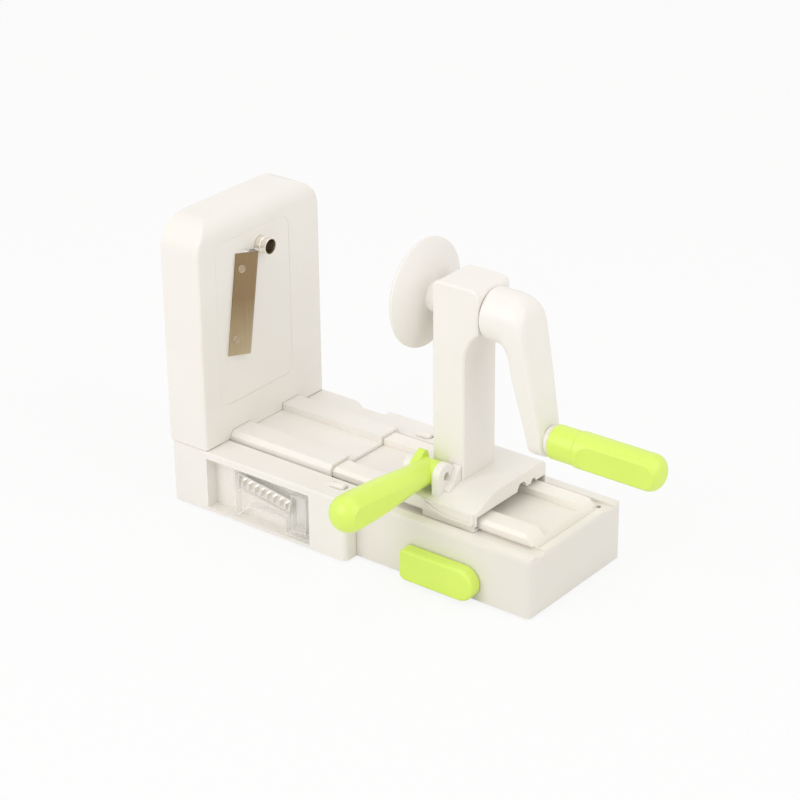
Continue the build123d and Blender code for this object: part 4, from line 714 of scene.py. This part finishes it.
def make_cup():
    """The cup, with its neck and with sealing rings under its hollow face."""
    under = [(0.0, 0.0013), (0.004, CUP_HOLLOW)]
    for radius in CUP_RINGS:
        height = CUP_HOLLOW * (1 - radius / CUP_RADIUS)
        under += [(radius - 0.0009, height + 0.0004), (radius - 0.0004, height),
                  (radius + 0.0004, height), (radius + 0.0009, height + 0.0004)]
    low, high = box_of("suction_cup")
    work = bmesh.new()
    lathe(work, under + CUP_TOP, facing(((low.x + high.x) / 2, 0.0, 0.0), (0, 0, 1)), steps=72)
    from_work("sealing_cup", work, "suction_cup", smooth=30.0)


# ---------------------------------------------------------------- clear carrier
ARCH_TOP, LEFT_TOE, LEFT_KNEE, RIGHT_LEG = 0.0130, 0.0400, 0.0510, 0.0790
SEAT_MOUTH, LOWER_MOUTH, SEAT_BACK = -0.0552, -0.0545, -0.0501


def tray(work, outline, front, back, wall, floor):
    """An open tray, given as an outline in (x, z), with its mouth at the front."""
    face = work.faces.new([work.verts.new((x, front, z)) for x, z in outline])
    rear = work.faces.new([work.verts.new((x, back, z)) for x, z in reversed(outline)])
    count = len(outline)
    fronts, rears = list(face.verts), list(reversed(rear.verts))
    for k in range(count):
        after = (k + 1) % count
        work.faces.new((fronts[after], fronts[k], rears[k], rears[after]))
    work.normal_update()
    bmesh.ops.inset_region(work, faces=[face], thickness=wall, depth=0.0, use_even_offset=True)
    sunk = bmesh.ops.extrude_discrete_faces(work, faces=[face])["faces"][0]
    for vert in sunk.verts:
        vert.co.y = back - math.copysign(floor, back - front)


def leaned(middle, width, height, degrees=0.0):
    """Corners of a rectangle in (x, z), leaned to the right."""
    cosine, sine = math.cos(math.radians(-degrees)), math.sin(math.radians(-degrees))
    corners = ((-width, -height), (width, -height), (width, height), (-width, height))
    return [
        (middle[0] + (x * cosine - z * sine) / 2, middle[1] + (x * sine + z * cosine) / 2) for x, z in corners
    ]


def make_carrier():
    """The tray with its arched foot, a leaning seat for the spare blade and two windows in its leg."""
    low, high = box_of("spare_blade_carrier")
    outline = [(low.x, low.z), (LEFT_TOE, low.z), (LEFT_KNEE, ARCH_TOP), (RIGHT_LEG, ARCH_TOP),
               (RIGHT_LEG, low.z), (high.x, low.z), (high.x, high.z), (low.x, high.z)]
    seat = leaned((0.0620, 0.0251), width=0.0432, height=0.0122, degrees=8.0)
    window = leaned((0.0900, 0.0200), width=0.0120, height=0.0250)
    lower_window = leaned((0.0895, 0.0082), width=0.0110, height=0.0040)
    work = bmesh.new()
    tray(work, outline, low.y, high.y, wall=0.0014, floor=0.0012)
    tray(work, seat, SEAT_MOUTH, SEAT_BACK, wall=0.0012, floor=0.0021)
    tray(work, window, SEAT_MOUTH, SEAT_BACK, wall=0.0012, floor=0.0010)
    tray(work, lower_window, LOWER_MOUTH, SEAT_BACK, wall=0.0009, floor=0.0010)
    carrier = from_work("clear_tray", work, "spare_blade_carrier", clear, smooth=30.0)
    carrier.visible_shadow = False


make_crank_arm()
make_teeth()
make_screws("cover_screws", "tower_cover_screws", normal=(-1, 0, 0), length=0.012,
            xs=[-0.01199], ys=(-0.0475, 0.0475), zs=(0.0522, 0.179))
make_screws("underside_screws", "base_cover_screws", normal=(0, 0, -1), length=0.010,
            xs=(0.068, 0.1683), ys=(-0.036, 0.036), zs=[0.00116])
make_screws("saddle_screws", "post_screws", normal=(0, 0, -1), length=0.014,
            xs=[0.1755], ys=(-0.00825, 0.00825), zs=[0.04861])
make_screws("deck_screws", "tower_foot_screws", normal=(0, 0, -1), length=0.012,
            xs=[0.003], ys=(-0.043, 0.043), zs=[0.03921])
make_thumb_ribs()
make_coring_tube()
make_rivets()
make_cup()
make_carrier()


# ---------------------------------------------------------------- floor and lights
FLOOR_SIZE, FLOOR_DROP, FLOOR_GREY = 14.0, 0.0002, 0.86
FLOOR_GLOW = 0.85       # share of plain white in what the camera sees of the floor
AMBIENT = 0.69
AIM = (0.1, 0.0, 0.08)


def make_floor():
    """A pale studio floor that reads as white to the camera and keeps a soft shadow."""
    bpy.ops.mesh.primitive_plane_add(size=FLOOR_SIZE, location=(0.0, 0.0, -FLOOR_DROP))
    floor = bpy.context.object
    floor.name = "floor"
    material, nodes, links, shader = new_material("floor")
    shader.inputs["Base Color"].default_value = (FLOOR_GREY, FLOOR_GREY, FLOOR_GREY, 1.0)
    shader.inputs["Roughness"].default_value = 0.9
    glow = nodes.new("ShaderNodeEmission")
    glow.inputs["Strength"].default_value = 1.0
    mix = nodes.new("ShaderNodeMixShader")
    path = nodes.new("ShaderNodeLightPath")
    share = nodes.new("ShaderNodeMath")
    share.operation = "MULTIPLY"
    share.inputs[1].default_value = FLOOR_GLOW
    links.new(path.outputs["Is Camera Ray"], share.inputs[0])
    links.new(share.outputs["Value"], mix.inputs["Fac"])
    links.new(shader.outputs["BSDF"], mix.inputs[1])
    links.new(glow.outputs["Emission"], mix.inputs[2])
    links.new(mix.outputs["Shader"], nodes["Material Output"].inputs["Surface"])
    floor.data.materials.append(material)


def make_world():
    """Even light from all round, white to the camera and in reflections."""
    world = bpy.data.worlds.new("studio")
    bpy.context.scene.world = world
    world.use_nodes = True
    nodes, links = world.node_tree.nodes, world.node_tree.links
    ambient = nodes["Background"]
    ambient.inputs["Color"].default_value = (1.0, 0.99, 0.97, 1.0)
    ambient.inputs["Strength"].default_value = AMBIENT
    seen = nodes.new("ShaderNodeBackground")
    seen.inputs["Color"].default_value = (1.0, 1.0, 1.0, 1.0)
    seen.inputs["Strength"].default_value = 1.0
    path = nodes.new("ShaderNodeLightPath")
    mix = nodes.new("ShaderNodeMixShader")
    direct = path.outputs["Is Camera Ray"]
    for ray in ("Is Glossy Ray", "Is Transmission Ray"):
        either = nodes.new("ShaderNodeMath")
        either.operation = "MAXIMUM"
        links.new(direct, either.inputs[0])
        links.new(path.outputs[ray], either.inputs[1])
        direct = either.outputs["Value"]
    links.new(direct, mix.inputs["Fac"])
    links.new(ambient.outputs["Background"], mix.inputs[1])
    links.new(seen.outputs["Background"], mix.inputs[2])
    links.new(mix.outputs["Shader"], nodes["World Output"].inputs["Surface"])


def area_light(name, place, size, power):
    """A square soft box that looks at the middle of the object."""
    data = bpy.data.lights.new(name, "AREA")
    data.shape = "SQUARE"
    data.size = size
    data.energy = power
    lamp = bpy.data.objects.new(name, data)
    lamp.location = place
    lamp.rotation_mode = "QUATERNION"
    lamp.rotation_quaternion = (Vector(AIM) - Vector(place)).to_track_quat("-Z", "Y")
    bpy.context.scene.collection.objects.link(lamp)


make_floor()
make_world()
area_light("key", (-0.3, -1.5, 1.1), size=1.3, power=10.6)
area_light("fill", (1.4, 0.1, 0.9), size=1.3, power=5.2)
area_light("overhead", (0.1, 0.1, 1.7), size=1.2, power=2.8)
